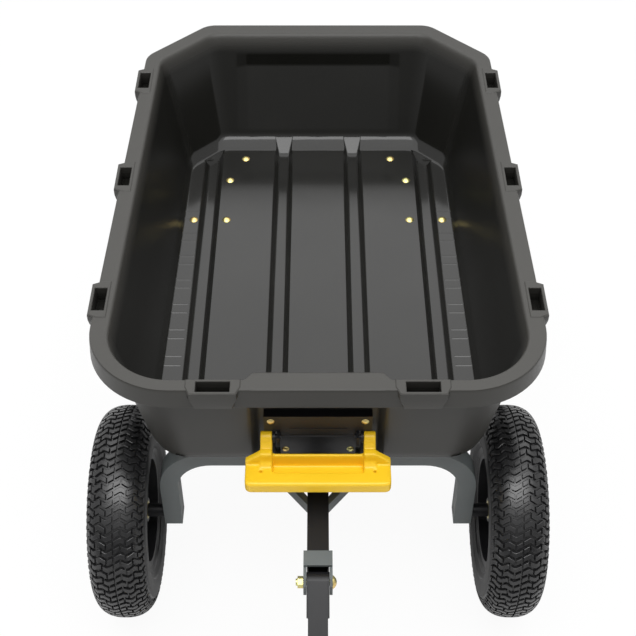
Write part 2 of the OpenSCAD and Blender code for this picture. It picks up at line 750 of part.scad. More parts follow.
module latch_hooks() color(steel) set_down() {
    tip = -plate_ahead - hook_gap;
    foot = plate_z - hook_gap - hook_foot;
    for (s = [-1, 1]) difference() {
        union() {
            slab_x(s > 0 ? hook_x : -hook_x - hook_t, hook_t)
                polygon([[pivot_y - hook_w / 2, latch_z], [pivot_y - hook_w / 2, foot], [tip, foot],
                         [tip, foot + hook_foot], [pivot_y + hook_w / 2, foot + hook_foot],
                         [pivot_y + hook_w / 2, latch_z]]);
            translate([0, pivot_y, latch_z])
                rod_x(s > 0 ? hook_x : -hook_x - hook_t, hook_t, arm_r - 1);
        }
        translate([0, pivot_y, latch_z]) rod_x(-paddle_w, 2 * paddle_w, pin_d / 2 + run_gap);
    }
}

// Chassis

module chassis_rail(s) color(frame_grey) set_down() difference() {
    translate([s * rail_x, 0, 0]) square_tube(rail_w, rail_start, rail_end, rail_z);
    translate([0, hinge_y, hinge_z]) rod_x(-rod_half, 2 * rod_half, hinge_d / 2 + run_gap / 2);
}

module front_plate() color(frame_grey) set_down() difference() {
    translate([-plate_w / 2, -plate_ahead, plate_z]) cube([plate_w, plate_ahead + plate_behind, plate_t]);
    translate([0, 0, plate_z - 1]) cylinder(d = kingpin_d + run_gap, h = plate_t + 2);
}

module rest_pad() color(rubber) set_down()
    translate([-pad_w / 2, plate_behind - pad_l - pad_inset, plate_top])
        cube([pad_w, pad_l, pad_h - face_gap]);

module kingpin() color(zinc) set_down() {
    translate([0, 0, plate_top]) cylinder(d = 1.5 * kingpin_d / cos(30), h = 0.6 * kingpin_d, $fn = 6);
    tip = kingpin_nut_z - kingpin_tail;
    translate([0, 0, tip]) cylinder(d = kingpin_d, h = plate_top - tip);
}

module kingpin_nut() color(zinc) set_down() translate([0, 0, kingpin_nut_z])
    hex_nut(1.5 * kingpin_d, kingpin_nut_h, kingpin_d / 2 + run_gap / 2);

// Arched axle: a tube bent down to a leg at each wheel
function arch_line(top, inset) =
    let (ri = arch_r + inset, ro = arch_r + arch_t - inset,
         cx = leg_in - arch_r, cz = top - arch_t - arch_r,
         foot = inset > 0 ? leg_bottom - 1 : leg_bottom,
         right = concat([[leg_in + inset, foot], [leg_out - inset, foot]], arc(cx, cz, ro, 0, 90, 10)),
         under = arc(cx, cz, ri, 90, 0, 10))
    concat(right, [for (i = [len(right) - 1:-1:0]) [-right[i].x, right[i].y]],
           [for (i = [len(under) - 1:-1:0]) [-under[i].x, under[i].y]], under);

module axle_arch(y, top, pin_r) color(frame_grey) set_down() difference() {
    slab_y(y, arch_depth) polygon(arch_line(top, 0));
    slab_y(y, arch_depth - 2 * tube_t) polygon(arch_line(top, tube_t));
    translate([0, y, axle_z]) rod_x(-track, 2 * track, axle_d / 2 + run_gap / 2);
    if (pin_r > 0) translate([0, y, top - arch_t - 1]) cylinder(r = pin_r, h = arch_t + 2);
}

module stub_axles(y) color(steel) set_down() for (s = [-1, 1])
    translate([s * track / 2, y, axle_z]) rotate([0, 0, s > 0 ? 0 : 180]) {
        rod_x(leg_in - track / 2, axle_end - leg_in + track / 2, axle_d / 2);
        rod_x(hub_gap_in, -hub_in - face_gap - hub_gap_in, axle_d / 2 + axle_step);
    }

module axle_nuts(y) color(zinc) set_down() for (s = [-1, 1])
    translate([s * track / 2, y, axle_z]) rotate([0, 0, s > 0 ? 0 : 180])
        translate([hub_out + face_gap, 0, 0]) rotate([0, 90, 0]) difference() {
            union() {
                cylinder(d = 1.75 * axle_d, h = washer_t);
                translate([0, 0, washer_t - eps])
                    cylinder(d = 1.5 * axle_d / cos(30), h = axle_nut_h, $fn = 6);
            }
            translate([0, 0, -1]) cylinder(d = axle_d + run_gap, h = washer_t + axle_nut_h + 2);
        }

module hinge_rod() color(steel) set_down() translate([0, hinge_y, hinge_z])
    rod_x(-rod_half, 2 * rod_half, hinge_d / 2);

module hinge_collars() color(zinc) set_down() translate([0, hinge_y, hinge_z])
    for (s = [-1, 1]) difference() {
        inner = lug_x + bracket_t + face_gap;
        rod_x(s > 0 ? inner : -inner - hinge_collar_w, hinge_collar_w, 0.75 * hinge_d);
        rod_x(-rod_half, 2 * rod_half, hinge_d / 2 + run_gap / 2);
    }

// Steering and tongue

module turntable_disc() color(frame_grey) set_down() difference() {
    translate([0, 0, arch_top]) cylinder(d = disc_d, h = disc_h - face_gap, $fn = 72);
    translate([0, 0, arch_top - 1]) cylinder(d = kingpin_d + 2 * run_gap, h = disc_h + 2);
}

module tongue_tube() color(frame_grey) set_down() difference() {
    square_tube(tongue_w, -tongue_l, tongue_tail, tongue_z);
    translate([0, 0, tongue_z - 1]) cylinder(d = kingpin_d + 2 * run_gap, h = tongue_w + 2);
}

module tongue_brace(s) color(frame_grey) set_down() {
    half = tongue_w / 2;
    lean = brace_t * norm([brace_x - half, brace_ahead]) / (brace_x - half);
    translate([0, 0, tongue_top - brace_h]) linear_extrude(brace_h)
        polygon([[s * half, -brace_ahead], [s * brace_x, 0],
                 [s * (brace_x - brace_t), arch_depth / 3], [s * half, -brace_ahead + lean]]);
}

module tongue_clevis() color(frame_grey) set_down() {
    nose = swing_y - clevis_nose;
    back = -tongue_l + clevis_lap;
    half = clevis_w / 2;
    low = tongue_z - clevis_drop;
    high = tongue_top + eps;
    difference() {
        union() {
            translate([-clevis_half, -tongue_l - clevis_over, tongue_top])
                cube([2 * clevis_half, clevis_lap + clevis_over, clevis_t]);
            for (s = [-1, 1]) slab_x(s > 0 ? half : -clevis_half, clevis_t)
                polygon([[back, low], [back, high], [nose + clevis_cut, high], [nose, high - clevis_cut],
                         [nose, low + clevis_cut], [nose + clevis_cut, low]]);
        }
        translate([0, swing_y, swing_z]) rod_x(-clevis_w, 2 * clevis_w, bolt_d / 2 + run_gap / 2);
    }
}

module handle_bolt() color(zinc) set_down() translate([0, swing_y, swing_z]) {
    tip = clevis_half + handle_nut_h + bolt_tail;
    rod_x(-tip, tip + clevis_half, bolt_d / 2);
    translate([clevis_half, 0, 0]) rotate([0, 90, 0]) dome(2 * bolt_d, 0.6 * bolt_d);
}

module handle_nut() color(zinc) set_down()
    translate([-clevis_half, swing_y, swing_z]) rotate([0, -90, 0])
        hex_nut(1.5 * bolt_d, handle_nut_h, bolt_d / 2 + run_gap / 2);

// Pull handle: drawn with its bolt at the origin and its bar along -Y, then laid down to the ground

module lay_handle() set_down() translate([0, swing_y, swing_z]) rotate([rest_angle, 0, 0]) children();

module pull_bar() color(frame_grey) lay_handle() difference() {
    union() {
        translate([-bar_w / 2, -bar_l, -bar_w / 2]) cube([bar_w, bar_l, bar_w]);
        rod_x(-bar_w / 2, bar_w, bar_w / 2);
    }
    translate([-bar_w / 2 + tube_t, -bar_l - 1, -bar_w / 2 + tube_t])
        cube([bar_w - 2 * tube_t, bar_l - bar_w, bar_w - 2 * tube_t]);
    rod_x(-bar_w, 2 * bar_w, bolt_d / 2 + run_gap);
}

module pull_yoke() color(frame_grey) lay_handle() for (s = [-1, 1]) difference() {
    union() {
        translate([s > 0 ? bar_w / 2 : -bar_w / 2 - yoke_t, -yoke_l, -bar_w / 2])
            cube([yoke_t, yoke_l, bar_w]);
        rod_x(s > 0 ? bar_w / 2 : -bar_w / 2 - yoke_t, yoke_t, bar_w / 2);
    }
    rod_x(-bar_w, 2 * bar_w, bolt_d / 2 + run_gap);
}

module tow_plate() color(frame_grey) lay_handle() difference() {
    neck = bar_w - 2 * face_gap;
    union() {
        translate([-neck / 2, -bar_l - tow_out, -tow_t / 2]) cube([neck, tow_out, tow_t]);
        translate([0, -bar_l - tow_out, -tow_t / 2]) cylinder(d = tow_w, h = tow_t);
    }
    translate([0, -bar_l - tow_out, -tow_t]) cylinder(d = tow_d, h = 2 * tow_t);
}

// Half of the grip loop's centre line, from its lap on the bar to the middle of the grip
function loop_half() =
    let (side_x = bar_w / 2 + grip_rod_d / 2, loop_y = -grip_reach + loop_side,
         run = [loop_x - side_x, loop_y + bar_l], turn = atan2(run.x, -run.y),
         b = loop_bend, cut = b * tan(turn / 2))
    concat([[side_x, -bar_l + loop_lap]],
           arc(side_x + b, -bar_l + cut, b, 180, 180 + turn, 4),
           arc(loop_x - b, loop_y - cut, b, turn, 0, 4),
           arc(loop_x - b, -grip_reach + b, b, 0, -90, 6));

module grip_loop() color(frame_grey) lay_handle() {
    half = loop_half();
    path = concat(half, [for (i = [len(half) - 1:-1:0]) [-half[i].x, half[i].y]]);
    last = len(path) - 1;
    n = 12;
    r = grip_rod_d / 2;
    rings = [for (i = [0:last])
        let (d = path[min(i + 1, last)] - path[max(i - 1, 0)], side = [-d.y, d.x] / norm(d))
        for (k = [0:n - 1]) let (a = 360 * k / n) concat(path[i] + side * r * cos(a), [r * sin(a)])];
    polyhedron(rings, concat(
        [[for (k = [0:n - 1]) k]],
        [for (i = [0:last - 1], k = [0:n - 1]) let (a = i * n + k, b = i * n + (k + 1) % n)
            each [[a, a + n, b + n], [a, b + n, b]]],
        [[for (k = [n - 1:-1:0]) last * n + k]]));
}

module hand_grip() color(rubber) lay_handle() translate([0, -grip_reach, 0]) difference() {
    rod_x(-grip_l / 2, grip_l, grip_d / 2);
    rod_x(-grip_l, 2 * grip_l, grip_rod_d / 2 + hole_gap);
}

// Wheels: each piece is revolved about the wheel's axle, with +X local outwards

module wheel_at(s, y) set_down()
    translate([s * track / 2, y, axle_z]) rotate([0, 0, s > 0 ? 0 : 180]) children();

module revolved(fn) rotate([0, 90, 0]) rotate_extrude($fn = fn) children();

function soft(v, power) = sign(v) * pow(abs(v), power);

// A tyre's section from bead to bead, as a squared ellipse
function tyre_arc(inset, steps = 24) =
    let (rc = (tyre_d + rim_d) / 4, a = (tyre_d - rim_d) / 4 - inset, b = tyre_w / 2 - inset)
    [for (i = [0:steps]) let (t = 300 * (i / steps - 0.5))
        [rc + a * soft(cos(t), 0.83), b * soft(sin(t), 0.83)]];

module tyre(s, y) color(rubber) wheel_at(s, y) difference() {
    inner = tyre_arc(tyre_t, steps = 12);
    seat = rim_d / 2 + run_gap;
    toe = rim_w / 4;
    flange = [rim_flange + face_gap, rim_w / 2 - rim_t - face_gap];
    revolved(96) polygon(concat(tyre_arc(0), [[seat, 1.5 * toe], [seat, toe]],
                                [for (i = [len(inner) - 1:-1:0]) inner[i]], [[seat, -toe], [seat, -1.5 * toe]]));
    for (side = [-1, 1])
        revolved(96) polygon([[seat - 1, side * flange.y], [seat + flange.x, side * flange.y],
                              [seat + flange.x, side * tyre_w], [seat - 1, side * tyre_w]]);
}

module rim(s, y) color(rubber) wheel_at(s, y) {
    seat = rim_d / 2;
    well = seat - rim_well;
    w = rim_w / 2;
    hub_r = hub_d / 2 + run_gap / 2;
    tyre_side = [[seat + rim_flange, w - rim_t], [seat, w - rim_t], [seat, w / 2], [well, w / 3]];
    open_side = [[well - rim_t, w / 3 + rim_t / 2], [seat - rim_t, w / 2 + rim_t / 2], [seat - rim_t, w],
                 [seat + rim_flange, w]];
    ring = hub_r + dish_w;
    slant = 2 * rim_t / 3;
    disc = [[well - rim_t, 0], [ring + dish_slope, 0], [ring, disc_dish], [hub_r, disc_dish],
            [hub_r, disc_dish + rim_t], [ring + slant, disc_dish + rim_t],
            [ring + dish_slope + slant, rim_t], [well - rim_t, rim_t]];
    revolved(96) polygon(concat(tyre_side, [for (i = [3:-1:0]) [tyre_side[i].x, -tyre_side[i].y]],
                                [for (i = [3:-1:0]) [open_side[i].x, -open_side[i].y]], disc, open_side));
}

module hub(s, y) color(frame_grey) wheel_at(s, y) difference() {
    rod_x(-hub_in, hub_in + hub_out, hub_d / 2);
    rod_x(-hub_in - 1, hub_in + hub_out + 2, axle_d / 2 + hub_room);
    rod_x(-hub_in - 1, bearing_w + 1, bearing_od / 2);
    rod_x(hub_out - bearing_w, bearing_w + 1, bearing_od / 2);
}

module bearings(s, y) color(zinc) wheel_at(s, y) for (x = [-hub_in, hub_out - bearing_w]) difference() {
    rod_x(x, bearing_w, bearing_od / 2 - run_gap / 2);
    rod_x(x - 1, bearing_w + 2, axle_d / 2 + run_gap);
}

module valve(s, y) color(steel) wheel_at(s, y)
    translate([rim_w / 6, 0, rim_d / 2 - rim_well - rim_t - valve_l - face_gap / 2])
        cylinder(d = valve_d, h = valve_l);

tub();
latch_plate();
latch_plate_bolts();
latch_plate_nuts();
release_pivot_pins();
for (s = SIDES) {
    hinge_bracket(s[0]);
    chassis_rail(s[0]);
    tongue_brace(s[0]);
}
bracket_spacers();
floor_bolts();
floor_nuts();
release_handle();
latch_hooks();
front_plate();
rest_pad();
kingpin();
kingpin_nut();
axle_arch(wheelbase, rail_z, 0);  // rear_arch
stub_axles(wheelbase);  // rear_stub_axles
axle_nuts(wheelbase);  // rear_axle_nuts
hinge_rod();
hinge_collars();
axle_arch(0, arch_top, kingpin_d / 2 + run_gap);  // front_arch
stub_axles(0);  // front_stub_axles
axle_nuts(0);  // front_axle_nuts
turntable_disc();
tongue_tube();
tongue_clevis();
handle_bolt();
handle_nut();
pull_bar();
pull_yoke();
tow_plate();
grip_loop();
hand_grip();
for (axle = [["front", 0], ["rear", wheelbase]], s = SIDES) {
    name = str(axle[0], "_", s[1]);
    tyre(s[0], axle[1]);
    rim(s[0], axle[1]);
    hub(s[0], axle[1]);
    bearings(s[0], axle[1]);
    valve(s[0], axle[1]);
}
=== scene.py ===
"""Dresses the dump cart: finer meshes, finishes, light and camera around its fixed frame."""

import json
from functools import cache
from math import copysign, cos, pi, radians, sin, sqrt, tan

import bmesh
import bpy
from bpy.props import FloatProperty, FloatVectorProperty, IntProperty, PointerProperty
from mathutils import Matrix, Vector


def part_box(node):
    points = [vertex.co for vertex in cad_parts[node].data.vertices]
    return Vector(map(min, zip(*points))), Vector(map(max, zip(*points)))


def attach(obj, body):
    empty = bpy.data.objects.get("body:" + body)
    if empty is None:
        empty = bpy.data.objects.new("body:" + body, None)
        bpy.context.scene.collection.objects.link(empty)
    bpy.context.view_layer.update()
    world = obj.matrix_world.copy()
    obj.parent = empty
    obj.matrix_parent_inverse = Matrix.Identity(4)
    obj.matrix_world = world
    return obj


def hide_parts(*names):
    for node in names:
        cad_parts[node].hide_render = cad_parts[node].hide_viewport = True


bl_info = {
    "name": "Dump Cart Finish",
    "version": (1, 0, 0),
    "blender": (4, 5, 0),
    "location": "View3D > Sidebar > Dump Cart",
    "description": "Dresses a tipping dump cart with finer meshes and finishes",
    "category": "Object",
}

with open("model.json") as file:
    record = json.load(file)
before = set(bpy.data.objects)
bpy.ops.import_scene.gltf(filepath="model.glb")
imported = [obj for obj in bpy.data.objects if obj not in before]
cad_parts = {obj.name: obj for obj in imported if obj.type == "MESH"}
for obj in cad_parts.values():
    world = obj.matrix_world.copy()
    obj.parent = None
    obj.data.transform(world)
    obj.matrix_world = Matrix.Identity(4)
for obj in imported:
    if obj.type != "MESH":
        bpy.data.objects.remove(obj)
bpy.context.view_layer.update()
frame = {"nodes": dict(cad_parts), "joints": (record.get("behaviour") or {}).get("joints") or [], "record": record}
JOINTS = {joint["name"]: joint for joint in frame["joints"]}
MOUNTS = {mount["name"]: mount for mount in frame["record"]["mounts"]}
SLOTS = {part["node"]: part["material_slot"] for part in frame["record"]["subparts"]}
BODY_OF = {node: body for body, nodes in frame["record"]["behaviour"]["bodies"].items() for node in nodes}

WHEELS = ("front_left", "front_right", "rear_left", "rear_right")
MM = 0.001
AXLE_Y = JOINTS["front_left_wheel_spin"]["pos_m"][1]
FLOOR_Z = MOUNTS["load_floor"]["pos_m"][2]
RIM_RISE = 1.5 * MM
RIM_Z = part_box("tub")[1].z - RIM_RISE


# Properties


def number(name, value, about, **kind):
    return FloatProperty(name=name, description=about, default=value, **kind)


def mm(name, value, about):
    """A length, given in millimetres."""
    return number(name, value * MM, about, unit="LENGTH", precision=4)


def count(name, value, about, least):
    return IntProperty(name=name, description=about, default=value, min=least)


def colour(name, r, g, b, about):
    """A colour, given as a screen shows it."""
    shown = [v / 255 for v in (r, g, b)]
    return FloatVectorProperty(name=name, description=about, subtype="COLOR", size=3, min=0, max=1,
                               default=[((v + 0.055) / 1.055) ** 2.4 for v in shown])


class TubSizes(bpy.types.PropertyGroup):
    """Sizes of the moulded tub, with places along the cart measured from the front axle."""

    wall: mm("Wall", 4, "Thickness of the moulded wall")
    rim_front_w: mm("Front width", 780, "Width of the rim at the front")
    rim_back_w: mm("Back width", 752, "Width of the rim at the rear chamfers")
    rim_ahead: mm("Rim ahead", 94, "Reach of the rim ahead of the front axle")
    rim_l: mm("Rim length", 1106, "Length of the rim")
    rim_side: mm("Rim sides", 33, "Width of the rim's top at the sides")
    rim_front: mm("Rim front", 26, "Width of the rim's top at the front")
    rim_back: mm("Rim back", 37, "Width of the rim's top at the back")
    lip_h: mm("Lip", 39, "Height of the turned-down lip")
    lip_flare: mm("Lip flare", 3, "Flare of the lip at its lower edge")
    corner_r: mm("Front corners", 146, "Radius of the rim's front corners")
    chamfer: mm("Rear chamfers", 126, "Size of the rim's rear chamfers")
    chamfer_r: mm("Chamfer rounding", 45, "Rounding at the ends of the rear chamfers")
    floor_front_w: mm("Floor front", 592, "Width of the floor at the front")
    floor_back_w: mm("Floor back", 570, "Width of the floor at the back")
    floor_ahead: mm("Floor ahead", 50, "Reach of the floor ahead of the front axle")
    floor_behind: mm("Floor behind", 840, "Reach of the floor behind the front axle")
    floor_corner_r: mm("Floor corners", 70, "Radius of the floor's front corners")
    floor_chamfer: mm("Floor chamfers", 67, "Size of the floor's rear chamfers")
    cove_h: mm("Cove height", 18, "Height of the slope round the floor")
    cove_side: mm("Cove sides", 8, "Width of the slope at the sides")
    cove_front: mm("Cove front", 2, "Width of the slope at the front")
    cove_back: mm("Cove back", 27, "Width of the slope at the back")
    recess_w: mm("Recess width", 208, "Width of the recess in the front wall")
    recess_d: mm("Recess depth", 18, "Depth of the recess in the front wall")
    recess_slant: mm("Recess sides", 13, "Width of the recess's slanted sides")
    channel_d: mm("Channel depth", 12, "Depth of the floor channels")
    channel_w: mm("Channel width", 22, "Width of a channel's bottom")
    channel_side: mm("Channel sides", 9, "Width of a channel's sloping side")
    channel_in: mm("Inner channels", 78, "Distance of the inner ones from the middle")
    channel_out: mm("Outer channels", 235.5, "Distance of the outer ones from the middle")
    channel_ramp: mm("Channel ramps", 30, "Length of the ramp at a channel's front end")
    pocket_l: mm("Pocket length", 56, "Length of a pocket's hole along the rim")
    pocket_w: mm("Pocket width", 22, "Width of a pocket's hole across the rim")
    pocket_d: mm("Pocket depth", 29, "Depth of a pocket's hole")
    pocket_wall: mm("Pocket wall", 6, "Wall on both sides of a pocket's hole")
    pocket_end: mm("Pocket ends", 18, "Wall at the ends of a pocket's hole")
    panel_w: mm("Panel width", 318, "Width of the panel's flat in the back wall")
    panel_h: mm("Panel height", 151, "Height of the panel with its slanted edge")
    panel_up: mm("Panel place", 14, "Height of the panel's lower edge over the slope")
    panel_d: mm("Panel depth", 9, "Depth of the panel at its top")
    panel_slope: mm("Panel slope", 26, "Width of the panel's slanted edges")
    rung_pitch: mm("Rung pitch", 71.5, "Distance between two floor rungs")
    rung_w: mm("Rung width", 28, "Width of a rung along the cart")
    rung_h: mm("Rung height", 1.2, "Height of a rung's ridges")
    ridge_w: mm("Ridge width", 4, "Width of the ridge at each edge of a rung")
    rung_gap: mm("Rung gap", 7, "Distance of the rungs from the outer channel")
    rung_first: mm("First rung", 94, "Place of the first rung behind the front axle")
    rung_count: count("Rungs", 8, "Rungs on each side of the floor", 1)


class WheelSizes(bpy.types.PropertyGroup):
    """Sizes of the tyres and their tread."""

    tyre_w: mm("Tyre width", 109, "Width of a tyre")
    bead_d: mm("Bead diameter", 203.2, "Diameter of the bead seat")
    carcass: mm("Carcass", 8, "Thickness of the tyre's wall")
    seat_w: mm("Seat width", 63, "Width over the tyre's beads")
    lug_h: mm("Lug height", 4.5, "Height of the tread's bars")
    lug_w: mm("Lug width", 10.4, "Width of the tread's bars")
    wave_h: mm("Wave height", 3.6, "Swing of the tread's bars to each side")
    wave_l: mm("Wave length", 13, "Distance between the bars' bends")
    pitches: count("Pitches", 42, "Repeats of the tread round a tyre", 12)
    squareness: number("Squareness", 0.83, "Power of the squared section")


class HandleSizes(bpy.types.PropertyGroup):
    """Sizes of the release handle and of the pull handle's grip."""

    bar_h: mm("Bar height", 24, "Height of the release handle's bar")
    bar_corner: mm("Bar corners", 10, "Radius of the bar's upright corners")
    bar_round: mm("Bar rounding", 14, "Rounding of the bar's upper front edge")
    evenness: mm("Evenness", 1.2, "Grain of the release handle's mesh")
    rib_h: mm("Rib height", 1.6, "Height of the grip's ribs")
    collar: mm("Collar", 7, "Length of the grip's smooth collars")
    ribs: count("Ribs", 13, "Ribs along the grip", 3)


class CartColours(bpy.types.PropertyGroup):
    """Colours of the finishes, as the photograph shows them under even light."""

    plastic: colour("Tub", 52, 51, 48, "Moulded plastic of the tub's rim and outside")
    # Painted shade: the tub's inside and its stake pockets take this darker tone of the same plastic as the
    # outside, in place of the shade that falls there.
    inside: colour("Tub inside", 17, 17, 15, "Glossy plastic of the tub's inside")
    yellow: colour("Release handle", 246, 200, 32, "Yellow plastic of the release handle")
    paint: colour("Frame", 94, 99, 99, "Powder coat of the steel frame")
    rim: colour("Rims", 26, 26, 28, "Black paint of the rims, tongue and pull handle")
    zinc: colour("Fasteners", 218, 200, 146, "Yellow zinc of the fasteners")
    steel: colour("Bare steel", 150, 152, 156, "Bare steel of the hinge rod and its spacers")
    tyre: colour("Tyres", 30, 30, 31, "Rubber of the tyres")
    rubber: colour("Grip", 30, 30, 31, "Rubber of the grip and the pad")


class StageSettings(bpy.types.PropertyGroup):
    """Camera, light and floor."""

    camera_ahead: mm("Camera ahead", 1408, "Distance of the camera ahead of the front axle")
    camera_z: mm("Camera height", 2137, "Height of the camera over the floor")
    camera_tilt: number("Tilt", radians(45), "How far the camera looks down", subtype="ANGLE")
    lens: number("Lens", 68.94, "Focal length in millimetres")
    floor_size: mm("Floor", 40000, "Width of the floor")
    key_power: number("Key", 150, "Power of the overhead panel", unit="POWER")
    fill_power: number("Fill", 64, "Power of the high front lamp", unit="POWER")
    key_back: mm("Key place", 1300, "Place of the overhead panel behind the front axle")
    ambient: number("Ambient", 0.5, "Strength of the light from all round")
    front_dim: number("Front", 0.15, "Share of the light left on the camera's side")
    floor_glow: number("Floor glow", 0.94, "Share of plain white in the floor")
    floor_mirror: number("Floor mirror", 0.2, "Share of that white left in reflections")


# Node trees


def math_node(operation, swapped=False):
    """A method that adds a Math node on a wire and another value."""

    def method(self, other):
        first, second = (other, self) if swapped else (self, other)
        return self.graph.node("ShaderNodeMath", {"operation": operation}, {0: first, 1: second})

    return method


class Wire:
    """An output socket that takes part in arithmetic."""

    def __init__(self, graph, socket):
        self.graph = graph
        self.socket = socket

    __add__ = __radd__ = math_node("ADD")
    __sub__ = math_node("SUBTRACT")
    __rsub__ = math_node("SUBTRACT", swapped=True)
    __mul__ = __rmul__ = math_node("MULTIPLY")
    maximum = math_node("MAXIMUM")


class Graph:
    """Adds nodes to an emptied tree and hands back their outputs as wires."""

    def __init__(self, tree):
        self.tree = tree
        tree.nodes.clear()

    def node(self, kind, settings=None, sockets=None, out=0):
        made = self.tree.nodes.new(kind)
        for key, value in (settings or {}).items():
            setattr(made, key, value)
        for key, value in (sockets or {}).items():
            if isinstance(value, Wire):
                self.tree.links.new(value.socket, made.inputs[key])
            else:
                made.inputs[key].default_value = value
        return Wire(self, made.outputs[out]) if made.outputs else None

    def soft_step(self, value, low, high, least=0.0):
        """Rises smoothly from the least share to one between two values."""
        return self.node("ShaderNodeMapRange", {"interpolation_type": "SMOOTHSTEP"},
                         {"Value": value, "From Min": low, "From Max": high, "To Min": least})


class Finish(Graph):
    """A material with one Principled shader, read on the piece's own coordinates."""

    def __init__(self, name, **fixed):
        self.material = bpy.data.materials.new(name)
        self.material.use_nodes = True
        super().__init__(self.material.node_tree)
        shader = self.node("ShaderNodeBsdfPrincipled", sockets=fixed)
        self.node("ShaderNodeOutputMaterial", sockets={"Surface": shader})
        self.inputs = shader.socket.node.inputs
        self.place = self.node("ShaderNodeTexCoord", out="Object")

    def feed(self, **wires):
        for name, wire in wires.items():
            self.tree.links.new(wire.socket, self.inputs[name.replace("_", " ")])

    def noise(self, scale, detail=2.0, stretch=(1, 1, 1)):
        spot = self.node("ShaderNodeMapping", sockets={"Vector": self.place, "Scale": stretch})
        return self.node("ShaderNodeTexNoise", sockets={"Vector": spot, "Scale": scale, "Detail": detail})

    def blend(self, share, first, second):
        """Mixes two colours by a share."""
        sockets = {0: share, 6: (*first, 1), 7: (*second, 1)}
        return self.node("ShaderNodeMix", {"data_type": "RGBA"}, sockets, out=2)

    def tones(self, share, base, dark, pale):
        """Mixes a darker and a paler tone of a colour by a share."""
        first, second = ([min(v * tone, 1) for v in base] for tone in (dark, pale))
        return self.blend(share, first, second)

    def side_mask(self, low, high):
        """One on faces that look across the cart, and zero on the others."""
        normal = self.node("ShaderNodeTexCoord", out="Normal")
        facing = self.node("ShaderNodeSeparateXYZ", sockets={0: normal}, out="X")
        return self.soft_step(facing * facing, low, high)

    def bump(self, height, strength, distance):
        sockets = {"Height": height, "Strength": strength, "Distance": distance}
        self.feed(Normal=self.node("ShaderNodeBump", sockets=sockets))


def moulded_plastic(colours):
    """Tub plastic: glossy inside, its colour there darkened as painted shade, with a fine grain on the rim and the
    outside.
    """
    paint = Finish("moulded_plastic", **{"Specular IOR Level": 0.35})
    # The attribute marks the tub's inside and its stake pockets, which take a glossy finish and a darker tone that
    # is painted shade.
    inside = paint.node("ShaderNodeAttribute", {"attribute_name": "inside"}, out="Fac")
    side = paint.side_mask(0.3, 0.7)
    cloud = paint.noise(5, 4) - 0.5
    grain = paint.noise(900) * (1 - inside) + paint.noise(9, 1) * inside * 0.5
    # The base colour turns to the darker inside tone there, as painted shade; the clouds vary the tone at random.
    paint.feed(Base_Color=paint.blend(inside * 0.9 + cloud * 0.25, colours.plastic, colours.inside),
               Roughness=0.42 - inside * (0.3 - side * 0.2) + cloud * 0.06)
    paint.bump(grain, 0.16, 1.1 * MM)
    return paint.material


def clouded(name, base, cloud, tones, rough, grain=None, **fixed):
    """A colour in cloudy tones with a fine grain.

    cloud holds the noise of the clouds, tones their darkest and palest share of the colour, rough the
    roughness and what the clouds add to it, and grain the scale, strength and height of the bumps.
    """
    paint = Finish(name, **fixed)
    share = paint.noise(*cloud)
    paint.feed(Base_Color=paint.tones(share, base, *tones), Roughness=rough[0] + share * rough[1])
    if grain:
        paint.bump(paint.noise(grain[0]), *grain[1:])
    return paint.material


def powder_coat(name, base, shine):
    """Paint with an orange-peel skin."""
    return clouded(name, base, cloud=(11, 4), tones=(0.88, 1.12), rough=(0.34, 0.12),
                   grain=(420, 0.1, 0.8 * MM), **{"Specular IOR Level": shine})


def yellow_zinc(colours):
    """Plated fasteners, with the rainbow cast of passivated zinc."""
    paint = Finish("yellow_zinc", Metallic=1.0)
    cast = paint.noise(55, 3)
    r, g, b = colours.zinc
    paint.feed(Base_Color=paint.blend(paint.soft_step(cast, 0.35, 0.65), (r, g * 0.9, b * 0.72),
                                      (r * 0.92, g * 1.08, b * 0.9)),
               Roughness=0.3 + paint.noise(260) * 0.16)
    return paint.material


def tyre_rubber(colours):
    """Tyre: black rubber with a mould sheen and dull patches."""
    paint = Finish("tyre_rubber")
    cloud = paint.noise(18, 4)
    paint.feed(Base_Color=paint.tones(cloud, colours.tyre, 0.7, 1.25),
               Roughness=0.2 + cloud * 0.2 + paint.side_mask(0.45, 0.85) * 0.25)
    paint.bump(paint.noise(500, 3), 0.12, 0.8 * MM)
    return paint.material


FINISHES = {
    "tub_plastic": moulded_plastic,
    "yellow_plastic": lambda colours: clouded(
        "yellow_plastic", colours.yellow, cloud=(14, 4), tones=(0.94, 1.04), rough=(0.34, 0.1),
        grain=(700, 0.06, 0.6 * MM)),
    "frame_paint": lambda colours: powder_coat("frame_paint", colours.paint, 0.5),
    "rim_paint": lambda colours: powder_coat("rim_paint", colours.rim, 0.3),
    "yellow_zinc": yellow_zinc,
    "steel": lambda colours: clouded(
        "bare_steel", colours.steel, cloud=(160, 3, (6, 1, 1)), tones=(0.8, 1.1), rough=(0.3, 0.18),
        Metallic=1.0),
    "tyre": tyre_rubber,
    "rubber": lambda colours: clouded(
        "soft_rubber", colours.rubber, cloud=(30, 3), tones=(0.8, 1.2), rough=(0.62, 0.14),
        grain=(800, 0.14, 0.7 * MM)),
}


@cache
def finish(slot):
    """The material of one of the record's slots, made once."""
    return FINISHES[slot](bpy.context.scene.cart_colours)


# Meshes


MERGED = 0.02 * MM
TOUCHING = 0.001 * MM


def placed(name, data):
    """A new object in the scene."""
    item = bpy.data.objects.new(name, data)
    bpy.context.scene.collection.objects.link(item)
    return item


def add_piece(name, mesh, body, slot, replaces=(), sharp=35):
    """Puts a finished mesh on a body, with smooth faces between its sharp edges."""
    mesh.materials.clear()
    mesh.materials.append(finish(slot))
    mesh.shade_smooth()
    mesh.set_sharp_from_angle(angle=radians(sharp))
    piece = placed(name, mesh)
    even = piece.modifiers.new("even_normals", "WEIGHTED_NORMAL")
    even.keep_sharp = True
    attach(piece, body)
    if replaces:
        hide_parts(*replaces)


